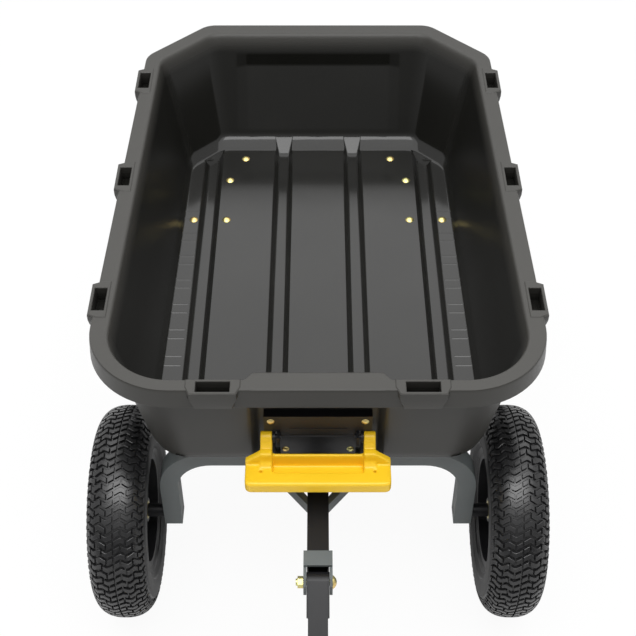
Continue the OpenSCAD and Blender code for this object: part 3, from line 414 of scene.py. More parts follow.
def mesh_from(bm, name):
    """Turns an edit mesh into a mesh with its faces outwards."""
    bmesh.ops.recalc_face_normals(bm, faces=bm.faces)
    mesh = bpy.data.meshes.new(name)
    bm.to_mesh(mesh)
    bm.free()
    return mesh


def loft(bm, rings, capped=True):
    """Skins rings of points, and closes the first and the last ring with a face."""
    rows = [[bm.verts.new(p) for p in ring] for ring in rings]
    for low, high in zip(rows, rows[1:]):
        for i in range(len(low)):
            j = (i + 1) % len(low)
            bm.faces.new((low[i], low[j], high[j], high[i]))
    if capped:
        bm.faces.new(rows[0])
        bm.faces.new(list(reversed(rows[-1])))


def lofted(bodies, name):
    """A mesh of closed bodies, each skinned from its rings."""
    bm = bmesh.new()
    for rings in bodies:
        loft(bm, rings)
    return mesh_from(bm, name)


def modified(mesh, **modifiers):
    """The mesh after some modifiers, given by type with their settings."""
    holder = placed("modified", mesh)
    for kind, settings in modifiers.items():
        modifier = holder.modifiers.new(kind.lower(), kind)
        for key, value in settings.items():
            if hasattr(modifier, key):
                setattr(modifier, key, value)
            else:
                modifier[key] = value
    result = bpy.data.meshes.new_from_object(holder.evaluated_get(bpy.context.evaluated_depsgraph_get()))
    holder.modifiers.clear()
    bpy.data.objects.remove(holder)
    return result


def carve(mesh, tool, operation):
    """Joins a tool mesh to a mesh or cuts it away, and gives the new mesh."""
    other = placed("tool", tool)
    result = modified(mesh, BOOLEAN={"object": other, "operation": operation, "solver": "EXACT"})
    bpy.data.objects.remove(other)
    return result


def tidied(mesh):
    """Merges what a cut leaves doubled, and splits its many-sided faces."""
    bm = bmesh.new()
    bm.from_mesh(mesh)
    bmesh.ops.remove_doubles(bm, verts=bm.verts, dist=MERGED)
    bmesh.ops.dissolve_degenerate(bm, edges=bm.edges, dist=MERGED)
    many_sided = [face for face in bm.faces if len(face.verts) > 4]
    bmesh.ops.triangulate(bm, faces=many_sided)
    bm.to_mesh(mesh)
    bm.free()
    return mesh


def arc(cx, cy, r, start, end, steps):
    turns = [radians(start + (end - start) * i / steps) for i in range(steps + 1)]
    return [(cx + r * cos(a), cy + r * sin(a)) for a in turns]


def curve(before, corner, after, reach, steps):
    """Points that round a corner, starting and ending at a reach from it."""
    ends = []
    for other in (before, after):
        way = [o - c for o, c in zip(other, corner)]
        share = min(reach / (sqrt(sum(v * v for v in way)) or 1), 0.5)
        ends.append([c + v * share for c, v in zip(corner, way)])
    rows = list(zip(ends[0], corner, ends[1]))
    shares = [i / steps for i in range(steps + 1)]
    return [[(1 - t) ** 2 * a + 2 * t * (1 - t) * c + t * t * b for a, c, b in rows] for t in shares]


# Tub


RECESS_EASE = 5 * MM
PANEL_EASE = 4 * MM
CHANNEL_BEND = 9 * MM
CHANNEL_EDGE = 3 * MM
CHANNEL_CUT = 60 * MM
BRIM_H = 13 * MM
SUPPORT = 14 * MM
FACES_DOWN = -0.3
GROWTH = (1, 1, -1, 1, 1, 2 - sqrt(2))


def grown(line, d):
    """A tub outline moved outwards: half widths, front, back, corner radius, chamfer."""
    return [a + d * way for a, way in zip(line, GROWTH)]


def between(low, high, t):
    return [a + (b - a) * t for a, b in zip(low, high)]


class TubShape:
    """The tub's outlines and its skin, worked out from its sizes."""

    def __init__(self, sizes):
        self.sizes = s = sizes
        self.floor_line = [s.floor_front_w / 2, s.floor_back_w / 2, -s.floor_ahead, s.floor_behind,
                           s.floor_corner_r, s.floor_chamfer]
        cove = (s.cove_side, s.cove_side, -s.cove_front, s.cove_back, s.cove_side, s.cove_side)
        self.cove_line = [a + d for a, d in zip(self.floor_line, cove)]
        self.rim_line = [s.rim_front_w / 2, s.rim_back_w / 2, -s.rim_ahead, s.rim_l - s.rim_ahead,
                         s.corner_r, s.chamfer]
        rim = (s.rim_side, s.rim_side, -s.rim_front, s.rim_back, s.rim_side, s.rim_side * GROWTH[-1])
        self.brim_line = [a - d for a, d in zip(self.rim_line, rim)]
        self.cove_z = FLOOR_Z + s.cove_h
        self.into_pockets = [place.inverted() for place in pocket_places()]

    def ring(self, station):
        """Outline of one station, anticlockwise from above."""
        s = self.sizes
        z, half_f, half_b, front, back, r, chamfer, notch, notch_d, panel_d = station
        bend = s.chamfer_r * tan(pi / 8)
        edge = s.panel_w / 2
        middle, deep, flush = (0, front + notch_d), (notch, front + notch_d), (notch + s.recess_slant, front)
        points = [middle]
        points += curve(middle, deep, flush, RECESS_EASE, 3)
        points += curve(deep, flush, (half_f - r, front), RECESS_EASE, 3)
        points += arc(half_f - r, front + r, r, -90, 0, 18)
        points += arc(half_b - s.chamfer_r, back - chamfer - bend, s.chamfer_r, 0, 45, 6)
        points += arc(half_b - chamfer - bend, back - s.chamfer_r, s.chamfer_r, 45, 90, 6)
        far, near = (edge + s.panel_slope, back), (edge, back + panel_d)
        points += curve((half_b - chamfer - bend, back), far, near, PANEL_EASE, 2)
        points += curve(far, near, (0, back + panel_d), PANEL_EASE, 2)
        points.append((0, back + panel_d))
        mirrored = [(-x, y) for x, y in reversed(points[1:-1])]
        return [Vector((x, y + AXLE_Y, z)) for x, y in points + mirrored]

    def wall_stations(self, low, high):
        """Stations of a wall between two stations, with the sunk panel in the back."""
        s = self.sizes
        panel_low = self.cove_z + s.panel_up
        panel_high = panel_low + s.panel_h
        rows = []
        for z, depth in ((panel_low, 0), (panel_high - s.panel_slope, s.panel_d), (panel_high, 0)):
            t = (z - low[0]) / (high[0] - low[0])
            rows.append(between(low, high, t)[:-1] + [depth])
        return rows

    def skin(self):
        """Rings of the whole moulding, from its underside over the rim to its floor.

        Each station of the path has the reach of its rounding in millimetres.
        """
        s = self.sizes
        out, within = s.recess_w / 2, s.recess_w / 2 + s.wall
        under_z, top_z, lip_z = FLOOR_Z - s.wall, RIM_Z - s.wall, RIM_Z - s.lip_h

        def station(z, line, notch=out, notch_d=s.recess_d):
            return [z, *line, notch, notch_d, 0]

        def lip(z, growth):
            return station(z, grown(self.rim_line, growth), notch_d=0)

        outer_low = station(self.cove_z - s.wall, grown(self.cove_line, s.wall))
        outer_top = station(top_z, grown(self.brim_line, s.wall))
        inner_top = station(RIM_Z, self.brim_line, within)
        inner_low = station(self.cove_z, self.cove_line, within)
        path = [(station(under_z, grown(self.floor_line, s.wall / 2 - SUPPORT)), 0),
                (station(under_z, grown(self.floor_line, s.wall / 2)), 6), (outer_low, 8)]
        path += [(row, 4) for row in self.wall_stations(outer_low, outer_top)]
        path += [(outer_top, 3), (lip(top_z, -s.wall), 1.5), (lip(lip_z, s.lip_flare - s.wall), 1),
                 (lip(lip_z, s.lip_flare), 1.5), (lip(RIM_Z, 0), 6), (inner_top, 12)]
        path += [(row, 4) for row in reversed(self.wall_stations(inner_low, inner_top))]
        path += [(inner_low, 9), (station(FLOOR_Z, self.floor_line, within), 7),
                 (station(FLOOR_Z, grown(self.floor_line, -SUPPORT), within), 0)]
        rings = []
        for i, (row, reach) in enumerate(path):
            if reach:
                rings += [self.ring(p) for p in curve(path[i - 1][0], row, path[i + 1][0], reach * MM, 4)]
            else:
                rings.append(self.ring(row))
        return rings

    def panel_depth(self, x, z):
        """How far the sunk panel lies behind the back wall at a place."""
        s = self.sizes
        low = self.cove_z + s.panel_up
        shares = ((s.panel_w / 2 + s.panel_slope - x) / s.panel_slope,
                  (z - low) / (s.panel_h - s.panel_slope),
                  (low + s.panel_h - z) / s.panel_slope)
        return s.panel_d * min(max(min(shares), 0), 1)

    def is_inside(self, point):
        """Whether a point lies on the tub's inner side or in a stake pocket, where the finish paints shade."""
        s = self.sizes
        for turn in self.into_pockets:
            x, y, z = turn @ point
            if abs(x) < s.pocket_l / 2 + MM and abs(y) < s.pocket_w / 2 + MM and -s.pocket_d < z < -2 * MM:
                return True
        if point.z > RIM_Z - BRIM_H or point.z < FLOOR_Z - s.channel_d - MM:
            return False
        t = min(max((point.z - self.cove_z) / (RIM_Z - self.cove_z), 0), 1)
        line = between(self.cove_line, self.brim_line, t)
        half_f, half_b, front, back, r, chamfer = grown(line, s.wall / 2)
        x, y = abs(point.x), point.y - AXLE_Y
        if y > back + self.panel_depth(x, point.z) or y < front or x > half_f:
            return False
        if y > back - chamfer and x + y > half_b + back - chamfer:
            return False
        corner_x, corner_y = x - (half_f - r), front + r - y
        if corner_x > 0 and corner_y > 0:
            return corner_x ** 2 + corner_y ** 2 < r ** 2
        slant = max((x - s.recess_w / 2 - s.wall / 2) / s.recess_slant, 0)
        return slant > 1 or y > front + s.recess_d * (1 - slant)


def channel_stations(tub, outer):
    """Stations of a floor channel: place, bottom height, half width of the bottom, width of a side."""
    start = -tub.floor_ahead + tub.recess_d + tub.wall
    deep = (-tub.channel_d, tub.channel_w / 2, tub.channel_side)
    narrow, wide = (deep[1] * 0.8, deep[2] * 0.3), (deep[1] * 1.9, deep[2] * 0.35)
    rows = [(start, 0, *narrow), (start + tub.channel_ramp, *deep)]
    if outer:
        return rows + [(tub.floor_behind, *deep)]
    top = tub.floor_behind + tub.cove_back
    return rows + [(tub.floor_behind - 5 * MM, *deep), (top - MM, tub.cove_h - MM, *wide)]


def channel_outline(tub, station, grow, outer):
    """Outline of a channel at a station: places across it and heights over the floor."""
    _, low, half, slope = station
    low -= grow
    half += grow
    lift = low + tub.channel_d
    brink = half + slope
    if grow:
        top = max(-MM, low + 3 * MM)
        edge = [(brink + CHANNEL_EDGE, top), (brink, min(top, lift + grow) - 0.5 * MM)]
    else:
        top = max(MM if outer else CHANNEL_CUT, lift + MM)
        edge = [(brink + CHANNEL_EDGE, top)]
        edge += curve((brink + CHANNEL_EDGE, lift + 0.1 * MM), (brink, lift - 0.2 * MM), (half, low),
                      CHANNEL_EDGE, 3)
    edge += curve((brink, lift), (half, low), (0, low), 3.5 * MM, 3)
    return edge + [(-x, z) for x, z in reversed(edge)]


def on_corner_slope(tub, point, beyond):
    """Moves a point along the cart onto the slope in the floor's rear corner."""
    reach = tub.floor_back_w / 2 + tub.floor_behind - tub.floor_chamfer
    lean = tub.cove_back / tub.cove_h * (point.z - FLOOR_Z)
    return Vector((point.x, AXLE_Y + reach + lean + beyond - abs(point.x), point.z))


def channel_mesh(tub, grow, name):
    """Space of the floor channels, or with a wall's growth the mouldings under them."""
    bodies = []
    for side in (-1, 1):
        for middle, outer in ((tub.channel_in, False), (tub.channel_out, True)):
            stations = channel_stations(tub, outer)
            if not grow:
                bends = zip(stations, stations[1:], stations[2:])
                smooth = [row for bend in bends for row in curve(*bend, CHANNEL_BEND, 4)]
                stations = [stations[0], *smooth, stations[-1]]
            rings = []
            for station in stations:
                outline = channel_outline(tub, station, grow, outer)
                y = station[0] + AXLE_Y
                rings.append([Vector((side * middle + x, y, FLOOR_Z + z)) for x, z in outline])
            if outer:
                rings[-1] = [on_corner_slope(tub, p, 2 * grow or -0.05 * MM) for p in rings[-1]]
            bodies.append(rings)
    return lofted(bodies, name)


def pocket_places():
    """Each stake pocket's place on the rim, turned so that its outside points along -Y."""
    for name, mount in MOUNTS.items():
        if name.startswith("stake_pocket"):
            x, y, _ = mount["pos_m"]
            turn = 0 if "front" in name else (pi / 2 if x > 0 else -pi / 2)
            yield Matrix.Translation((x, y, RIM_Z)) @ Matrix.Rotation(turn, 4, "Z")


def at_pockets(levels, name):
    """A body at every stake pocket, skinned from outlines at their heights over the rim."""
    bodies = []
    for place in pocket_places():
        bodies.append([[place @ Vector((x, y, z)) for x, y in outline] for z, outline in levels])
    return lofted(bodies, name)


def pocket_blocks(tub):
    """Raised blocks round the stake pockets: heights, with insets and end drafts in millimetres."""
    half = tub.pocket_l / 2 + tub.pocket_end
    out = tub.pocket_w / 2 + tub.pocket_wall
    taper = 7 * MM
    levels = []
    for z, inset, draft in ((0.8 * MM - tub.lip_h, 3, 8), (-0.7 * tub.lip_h, 0.5, 6),
                            (-0.35 * tub.lip_h, 0, 0.5), (-2 * MM, 0, 0), (0, 0.3, 0.3), (RIM_RISE, 2, 2)):
        d, end = inset * MM, half - draft * MM
        outline = [(end, out - d), (end, 0), (end - taper, -out + d)]
        levels.append((z, outline + [(-x, y) for x, y in reversed(outline)]))
    return at_pockets(levels, "pocket_blocks")


def pocket_holes(tub):
    """Holes of the stake pockets, with an eased upper edge."""
    ease = MM
    levels = []
    for z, d in ((RIM_RISE - tub.pocket_d, -0.5 * MM), (RIM_RISE - ease, 0), (RIM_RISE + ease, 2 * ease)):
        half, out = tub.pocket_l / 2 + d, tub.pocket_w / 2 + d
        levels.append((z, [(half, out), (half, -out), (-half, -out), (-half, out)]))
    return at_pockets(levels, "pocket_holes")


def mark_shaded_inside(mesh, shares):
    """Tells the tub's finish which points take its glossy, darker inside, the darker tone being painted shade."""
    mesh.attributes.new("inside", "FLOAT", "POINT").data.foreach_set("value", shares)


class CART_OT_tub(bpy.types.Operator):
    """Moulds the tub with its rim, stake pockets, floor channels and recess"""

    bl_idname = "cart.tub"
    bl_label = "Tub"

    def execute(self, context):
        sizes = context.scene.cart_tub
        shape = TubShape(sizes)
        mesh = lofted([shape.skin()], "tub_shell")
        mesh = carve(mesh, channel_mesh(sizes, sizes.wall, "channel_bodies"), "UNION")
        mesh = carve(mesh, pocket_blocks(sizes), "UNION")
        mesh = carve(mesh, channel_mesh(sizes, 0, "channel_spaces"), "DIFFERENCE")
        mesh = tidied(carve(mesh, pocket_holes(sizes), "DIFFERENCE"))
        # Points on the inner side and in the pockets take the painted shade, except faces that look down.
        mark_shaded_inside(mesh, [float(v.normal.z > FACES_DOWN and shape.is_inside(v.co)) for v in mesh.vertices])
        add_piece("tub_moulding", mesh, "tub", "tub_plastic", ["tub"], sharp=32)
        return {"FINISHED"}


# Repeated pieces


def repeat_tree(name, vector):
    """A new tree that takes a count, a named vector and a material: its graph and its input wires."""
    tree = bpy.data.node_groups.new(name, "GeometryNodeTree")
    inputs = {"Geometry": "Geometry", "Count": "Int", vector: "Vector", "Material": "Material"}
    for label, kind in inputs.items():
        tree.interface.new_socket(label, in_out="INPUT", socket_type=f"NodeSocket{kind}")
    tree.interface.new_socket("Geometry", in_out="OUTPUT", socket_type="NodeSocketGeometry")
    graph = Graph(tree)
    source = graph.node("NodeGroupInput").socket.node
    return graph, {socket.name: Wire(graph, socket) for socket in source.outputs if socket.name}


def end_tree(graph, given, **placing):
    """Puts a copy on each point and makes the copies plain geometry with a material."""
    copies = graph.node("GeometryNodeInstanceOnPoints", sockets={"Instance": given["Geometry"], **placing})
    solid = graph.node("GeometryNodeRealizeInstances", sockets={0: copies})
    dressed = graph.node("GeometryNodeSetMaterial", sockets={0: solid, "Material": given["Material"]})
    graph.node("NodeGroupOutput", sockets={0: dressed})
    return graph.tree


def ring_tree():
    """Repeats a shape round an axle along X."""
    graph, given = repeat_tree("round_the_axle", "Centre")
    points = graph.node("GeometryNodePoints", sockets={"Count": given["Count"], "Position": given["Centre"]})
    step = graph.node("ShaderNodeMath", {"operation": "DIVIDE"}, {0: 2 * pi, 1: given["Count"]})
    turn = graph.node("ShaderNodeCombineXYZ", sockets={"X": graph.node("GeometryNodeInputIndex") * step})
    spin = graph.node("FunctionNodeEulerToRotation", sockets={0: turn})
    return end_tree(graph, given, Points=points, Rotation=spin)


def row_tree():
    """Repeats a shape along a straight row."""
    graph, given = repeat_tree("along_a_row", "Step")
    line = graph.node("GeometryNodeMeshLine", sockets={"Count": given["Count"], "Offset": given["Step"]})
    return end_tree(graph, given, Points=line)


def repeated(mesh, tree, slot, **values):
    """Runs a repeating tree on a mesh and gives the result as a plain mesh."""
    values["Material"] = finish(slot)
    given = {item.identifier: values[item.name] for item in tree.interface.items_tree
             if item.in_out == "INPUT" and item.name in values}
    return modified(mesh, NODES={"node_group": tree, **given})


RIDGE_SECTION = ((-0.2, -0.3), (0, 0), (0.8, 1.25), (1, 2))


class CART_OT_tub_trim(bpy.types.Operator):
    """Moulds the crosswise rungs on the floor's outer strips"""

    bl_idname = "cart.tub_trim"
    bl_label = "Tub trim"

    def execute(self, context):
        tub = context.scene.cart_tub
        tree = row_tree()
        lean = (tub.floor_front_w - tub.floor_back_w) / 2 / (tub.floor_behind + tub.floor_ahead)
        inner = tub.channel_out + tub.channel_w / 2 + tub.channel_side + tub.rung_gap
        outer = tub.floor_front_w / 2 - lean * (tub.rung_first + tub.floor_ahead)
        bm = bmesh.new()
        for side in (-1, 1):
            step = Vector((-side * lean * tub.rung_pitch, tub.rung_pitch, 0))
            ridges = []
            for start in (tub.rung_first, tub.rung_first + tub.rung_w - tub.ridge_w):
                rings = []
                for rise, run in RIDGE_SECTION:
                    z, d = rise * tub.rung_h, run * tub.rung_h
                    corners = [(inner, d), (outer, d), (outer, tub.ridge_w), (inner, tub.ridge_w)]
                    rings.append([Vector((side * x, start + y + AXLE_Y, FLOOR_Z + z)) for x, y in corners])
                ridges.append(rings)
            rung = lofted(ridges, "rung")
            bm.from_mesh(repeated(rung, tree, "tub_plastic", Count=tub.rung_count, Step=step))
        mesh = mesh_from(bm, "floor_rungs")
        # All rungs lie on the floor inside the tub and take its painted shade.
        mark_shaded_inside(mesh, [1.0] * len(mesh.vertices))
        add_piece("floor_rungs", mesh, "tub", "tub_plastic")
        return {"FINISHED"}


# Wheels


TREAD_REACH = 66 * MM
TREAD_FADE = 8 * MM
BARE_SINK = 0.9 * MM
SIDE_RINGS = (44, 50)
SIDE_RING_H = 1.2 * MM
TYRE_STEPS = 96
TABLE_STEP = radians(0.5)
TABLE_STEPS = 300
SKIN_DEGREES = 2.5
SKIN_STEPS = 60
LINING_DEGREES = 6
LINING_STEPS = 24
BLOCK_STEP = 3
TREAD_BLOCKS = (((1.5, 20), (23.5, 44), (47, 64)), ((1.5, 11), (14.5, 33), (36.5, 56), (59, 66)))


def round_axle(across, radius, angle):
    """Point at a turn from the top about an axle along X."""
    return Vector((across, -radius * sin(angle), radius * cos(angle)))


class TyreShape:
    """The section of a tyre as a squared ellipse, measured along its skin from the crown."""

    def __init__(self, sizes, radius):
        self.sizes = sizes
        self.radius = radius
        self.mid = (radius + sizes.bead_d / 2) / 2
        self.high = (radius - sizes.bead_d / 2) / 2
        self.wide = sizes.tyre_w / 2
        self.table = [(0.0, 0.0)]
        last = self.point(0, 0)
        for i in range(1, TABLE_STEPS + 1):
            now = self.point(i * TABLE_STEP, 0)
            self.table.append((self.table[-1][0] + (now - last).length, i * TABLE_STEP))
            last = now

    def point(self, t, inset):
        """Point of the section at a turn from the crown, as (across, radius)."""
        power = self.sizes.squareness

        def soft(v):
            return copysign(abs(v) ** power, v)

        return Vector(((self.wide - inset) * soft(sin(t)), self.mid + (self.high - inset) * soft(cos(t))))

    def turn_at(self, along):
        """Turn from the crown at a distance along the skin."""
        reach = min(abs(along), self.table[-1][0])
        for (low, a), (high, b) in zip(self.table, self.table[1:]):
            if reach <= high:
                return copysign(a + (b - a) * (reach - low) / (high - low), along)

    def wrap(self, along, around, inset):
        """Point on the tyre about an axle along X, from places on its flat tread."""
        return round_axle(*self.point(self.turn_at(along), inset), around / self.radius)


def tyre_carcass(shape):
    """Closed tyre without lugs: drawn in under the tread, with raised rings on its sides."""
    s = shape.sizes
    outside = []
    for i in range(-SKIN_STEPS, SKIN_STEPS + 1):
        t = radians(SKIN_DEGREES * i)
        along = next(reach for reach, turn in shape.table if turn >= abs(t) - 1e-6)
        sunk = s.lug_h * max(0, min(1, (TREAD_REACH + TREAD_FADE - along) / TREAD_FADE))
        ring = SIDE_RING_H if abs(i) in SIDE_RINGS else 0
        outside.append(shape.point(t, max(sunk, BARE_SINK) - ring))
    turns = [radians(LINING_DEGREES * i) for i in range(LINING_STEPS, -LINING_STEPS - 1, -1)]
    inner = [shape.point(t, s.carcass + s.lug_h / 2) for t in turns]
    seat = s.bead_d / 2 + 0.1 * MM
    section = [*outside, (s.seat_w / 2, seat), (s.seat_w / 3, seat), *inner,
               (-s.seat_w / 3, seat), (-s.seat_w / 2, seat)]
    bm = bmesh.new()
    rings = [[round_axle(*p, 2 * pi * k / TYRE_STEPS) for p in section] for k in range(TYRE_STEPS)]
    loft(bm, rings + [rings[0]], capped=False)
    bmesh.ops.remove_doubles(bm, verts=bm.verts, dist=TOUCHING)
    return bm


def zigzag(along, height, wave):
    """Sideways place of a bar at a distance from the crown."""
    return height * (2 * abs(along / wave % 2 - 1) - 1)


def tread_pitch(shape):
    """One repeat of the tread: two wavy bars on each side, broken into blocks with sloping sides."""
    s = shape.sizes
    pitch = 2 * pi * shape.radius / s.pitches
    root = s.lug_h + MM
    section = ((-1.1, root), (-0.88, 0.5 * MM), (-0.74, 0), (0.74, 0), (0.88, 0.5 * MM), (1.1, root))
    blocks = []
    for side in (-1, 1):
        for row, spans in enumerate(TREAD_BLOCKS):
            for start, end in spans:
                steps = max(2, round((end - start) / BLOCK_STEP))
                rings = []
                for k in range(steps + 1):
                    along = (start + (end - start) * k / steps) * MM
                    middle = pitch * (row / 2 + side / 8) + side * zigzag(along, s.wave_h, s.wave_l)
                    rings.append([shape.wrap(side * along, middle + share * s.lug_w / 2, inset)
                                  for share, inset in section])
                blocks.append(rings)
    return lofted(blocks, "tread_pitch")


class CART_OT_tyres(bpy.types.Operator):
    """Makes the tyres: a carcass with raised rings, and a tread of bent lugs"""

    bl_idname = "cart.tyres"
    bl_label = "Tyres"

    def execute(self, context):
        sizes = context.scene.cart_wheels
        tree = ring_tree()
        for wheel in WHEELS:
            low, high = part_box(f"{wheel}_tyre")
            centre = (low + high) / 2
            shape = TyreShape(sizes, (high.z - low.z) / 2)
            bm = tyre_carcass(shape)
            bmesh.ops.translate(bm, verts=bm.verts, vec=centre)
            body = f"{wheel}_wheel"
            add_piece(f"{wheel}_tyre_carcass", mesh_from(bm, "carcass"), body, "tyre", [f"{wheel}_tyre"])
            tread = repeated(tread_pitch(shape), tree, "tyre", Count=sizes.pitches, Centre=centre)
            add_piece(f"{wheel}_tyre_tread", tread, body, "tyre")
        return {"FINISHED"}


# Handles and frame


FLAT_TURN = radians(0.5)
SHARP_EDGE = radians(32)
SOFTENINGS = 36
GRIP_STEPS = 48


def merged_copy(node):
    """Edit mesh of a CAD node with its flat faces whole."""
    bm = bmesh.new()
    bm.from_mesh(frame["nodes"][node].data)
    bmesh.ops.remove_doubles(bm, verts=bm.verts, dist=TOUCHING)
    bmesh.ops.dissolve_limit(bm, angle_limit=FLAT_TURN, verts=bm.verts, edges=bm.edges)
    return bm


def round_edges(bm, edges, width, steps):
    bmesh.ops.bevel(bm, geom=edges, offset=width, segments=steps, profile=0.5, affect="EDGES",
                    clamp_overlap=True)


def rounded_copy(node, width, steps):
    """Copy of a CAD node's mesh with its sharp edges rounded."""
    bm = merged_copy(node)
    sharp = [e for e in bm.edges if len(e.link_faces) == 2 and e.calc_face_angle(0) > SHARP_EDGE]
    round_edges(bm, sharp, width, steps)
    return mesh_from(bm, node)


ROUNDING = {
    "front_arch": (5.0, 4), "rear_arch": (5.0, 4), "tongue_tube": (3.0, 3),
    "chassis_rail_left": (3.0, 3), "chassis_rail_right": (3.0, 3), "pull_bar": (3.0, 3), "rest_pad": (2.0, 3),
    "latch_plate": (1.5, 2), "tongue_clevis": (1.2, 2), "pull_yoke": (0.8, 2), "tow_plate": (1.0, 2),
}
ROUNDING_ELSEWHERE = (0.6, 2)
BLACK_PIECES = ("pull_bar", "pull_yoke", "tongue_tube", "tow_plate", "grip_loop")


class CART_OT_release_handle(bpy.types.Operator):
    """Moulds the release handle with a rounded bar and soft edges"""

    bl_idname = "cart.release_handle"
    bl_label = "Release handle"

    def execute(self, context):
        sizes = context.scene.cart_handle
        low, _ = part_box("release_handle")
        top = low.z + sizes.bar_h
        slack = 0.2 * MM
        back = low.y + sizes.bar_corner + slack
        bm = merged_copy("release_handle")
        front = [e for e in bm.edges if all(abs(v.co.z - top) < slack and v.co.y < back for v in e.verts)]
        round_edges(bm, front, sizes.bar_round, 6)
        even = {"mode": "VOXEL", "voxel_size": sizes.evenness}
        mesh = modified(mesh_from(bm, "release_handle"), REMESH=even, SMOOTH={"iterations": SOFTENINGS})
        add_piece("release_handle_moulding", mesh, "release", "yellow_plastic", ["release_handle"], sharp=60)
        return {"FINISHED"}


def grip_profile(sizes, half, radius):
    """Places along the grip with their radius: collars at the ends and ribs between."""
    groove = radius - sizes.rib_h
    ends = half - sizes.collar
    pitch = 2 * ends / sizes.ribs
    ease = MM
    shoulder = radius - 0.2 * MM
    collar = [(half, groove - ease), (half - ease, radius - 0.3 * MM), (ends + ease, radius), (ends, groove)]
    rib = ((0.15, groove), (0.3, shoulder), (0.5, radius), (0.7, shoulder), (0.85, groove))
    points = [(-x, r) for x, r in collar]
    for i in range(sizes.ribs):
        points += [(i * pitch - ends + share * pitch, r) for share, r in rib]
    return points + collar[::-1]


class CART_OT_grip(bpy.types.Operator):
    """Makes the ribbed hand grip"""

    bl_idname = "cart.grip"
    bl_label = "Hand grip"

    def execute(self, context):
        low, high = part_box("hand_grip")
        middle = (low + high) / 2
        last_turn = 360 - 360 / GRIP_STEPS
        rings = []
        for x, r in grip_profile(context.scene.cart_handle, (high.x - low.x) / 2, (high.z - low.z) / 2):
            circle = arc(0, 0, r, 0, last_turn, GRIP_STEPS - 1)
            rings.append([middle + Vector((x, y, z)) for y, z in circle])
        add_piece("hand_grip_ribs", lofted([rings], "grip"), "pull_handle", "rubber", ["hand_grip"])
        return {"FINISHED"}


class CART_OT_frame_pieces(bpy.types.Operator):
    """Gives every other piece its rounded edges and its finish"""

    bl_idname = "cart.frame_pieces"
    bl_label = "Frame pieces"

    def execute(self, context):
        remade = {"tub", "release_handle", "hand_grip", *(f"{wheel}_tyre" for wheel in WHEELS)}
        for node in frame["nodes"]:
            if node not in remade:
                width, steps = ROUNDING.get(node, ROUNDING_ELSEWHERE)
                mesh = rounded_copy(node, width * MM, steps)
                slot = "rim_paint" if node in BLACK_PIECES else SLOTS[node]
                add_piece(f"{node}_finish", mesh, BODY_OF[node], slot, [node])
        return {"FINISHED"}


# Stage


FLOOR_GREY = (0.86, 0.86, 0.86, 1)
SKY_LIFT = 1.3
SKY_DARK = -0.8
SKY_FULL = 0.5
KEY_Z = 3.4
KEY_SIZE = (5.0, 6.0)
FILL_PLACE = (0, AXLE_Y - 1.1, 3.8)
FILL_AIM = (0, AXLE_Y - 0.1, 0.4)
FILL_SIZE = (2.8, 1.6)


def floor_material(glow, mirror):
    """Pale floor that shows as nearly white, and keeps the shadow on it."""
    material = bpy.data.materials.new("pale_floor")
    material.use_nodes = True
    graph = Graph(material.node_tree)
    plain = graph.node("ShaderNodeBsdfDiffuse", sockets={"Color": FLOOR_GREY})
    white = graph.node("ShaderNodeEmission")
    share = seen_rays(graph, mirror) * glow
    mixed = graph.node("ShaderNodeMixShader", sockets={0: share, 1: plain, 2: white})
    graph.node("ShaderNodeOutputMaterial", sockets={"Surface": mixed})
    return material


def seen_rays(graph, mirror=1.0):
    """One on camera rays, and a share of it on rays that a reflection or a clear piece sends on."""
    path = graph.node("ShaderNodeLightPath").socket.node
    camera, glossy, clear = (Wire(graph, path.outputs[name]) for name in
                             ("Is Camera Ray", "Is Glossy Ray", "Is Transmission Ray"))
    return camera.maximum(glossy.maximum(clear) * mirror)


def studio_world(stage):
    """Even light that the camera sees as white, dimmed on the camera's side."""
    world = bpy.data.worlds.new("studio")
    world.use_nodes = True
    graph = Graph(world.node_tree)
    ways = graph.node("ShaderNodeTexCoord", out="Generated")
    along, height = (graph.node("ShaderNodeSeparateXYZ", sockets={0: ways}, out=axis) for axis in "YZ")
    open_side = graph.soft_step(along + height * SKY_LIFT, SKY_DARK, SKY_FULL, stage.front_dim)
    camera = graph.node("ShaderNodeLightPath", out="Is Camera Ray")
    share = seen_rays(graph) * (1 - stage.ambient) + stage.ambient
    strength = camera.maximum(share * open_side)
    light = graph.node("ShaderNodeBackground", sockets={"Color": (1, 1, 1, 1), "Strength": strength})
    graph.node("ShaderNodeOutputWorld", sockets={"Surface": light})
    return world


def add_lamp(name, place, aim, size, power):
    lamp = bpy.data.lights.new(name, "AREA")
    lamp.shape = "RECTANGLE"
    lamp.size, lamp.size_y = size
    lamp.energy = power
    holder = placed(name, lamp)
    holder.location = place
    holder.rotation_euler = (Vector(aim) - Vector(place)).to_track_quat("-Z", "Y").to_euler()


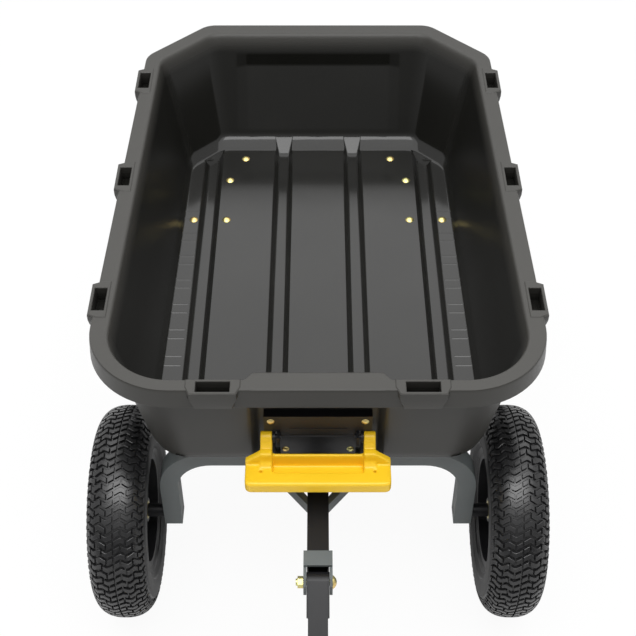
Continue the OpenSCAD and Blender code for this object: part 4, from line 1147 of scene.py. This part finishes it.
class CART_OT_stage(bpy.types.Operator):
    """Sets the floor, the light and the camera"""

    bl_idname = "cart.stage"
    bl_label = "Stage"

    def execute(self, context):
        scene = context.scene
        stage = scene.cart_stage
        bm = bmesh.new()
        bmesh.ops.create_grid(bm, x_segments=1, y_segments=1, size=stage.floor_size / 2)
        mesh = mesh_from(bm, "floor")
        mesh.materials.append(floor_material(stage.floor_glow, stage.floor_mirror))
        floor = placed("floor", mesh)

        scene.world = studio_world(stage)
        key_y = AXLE_Y + stage.key_back
        add_lamp("key", (0, key_y, KEY_Z), (0, key_y, 0), KEY_SIZE, stage.key_power)
        add_lamp("fill", FILL_PLACE, FILL_AIM, FILL_SIZE, stage.fill_power)

        lens = bpy.data.cameras.new("camera")
        lens.lens = stage.lens
        camera = placed("camera", lens)
        camera.location = (0, AXLE_Y - stage.camera_ahead, stage.camera_z)
        camera.rotation_euler = (pi / 2 - stage.camera_tilt, 0, 0)
        scene.camera = camera
        scene.view_settings.view_transform = "Standard"
        return {"FINISHED"}


class CART_PT_panel(bpy.types.Panel):
    """Lists the makers of the cart's pieces"""

    bl_idname = "CART_PT_panel"
    bl_label = "Dump Cart"
    bl_space_type = "VIEW_3D"
    bl_region_type = "UI"
    bl_category = "Dump Cart"

    def draw(self, context):
        for operator in OPERATORS:
            self.layout.operator(operator.bl_idname)


GROUPS = {"cart_tub": TubSizes, "cart_wheels": WheelSizes, "cart_handle": HandleSizes,
          "cart_colours": CartColours, "cart_stage": StageSettings}
OPERATORS = (CART_OT_tub, CART_OT_tub_trim, CART_OT_tyres, CART_OT_release_handle, CART_OT_grip,
             CART_OT_frame_pieces, CART_OT_stage)
CLASSES = (*GROUPS.values(), *OPERATORS, CART_PT_panel)


def register():
    for cls in CLASSES:
        bpy.utils.register_class(cls)
    for name, group in GROUPS.items():
        setattr(bpy.types.Scene, name, PointerProperty(type=group))


def unregister():
    for name in GROUPS:
        delattr(bpy.types.Scene, name)
    for cls in reversed(CLASSES):
        bpy.utils.unregister_class(cls)


def main():
    register()
    bpy.ops.cart.tub()
    bpy.ops.cart.tub_trim()
    bpy.ops.cart.tyres()
    bpy.ops.cart.release_handle()
    bpy.ops.cart.grip()
    bpy.ops.cart.frame_pieces()
    bpy.ops.cart.stage()


if __name__ == "__main__":
    main()
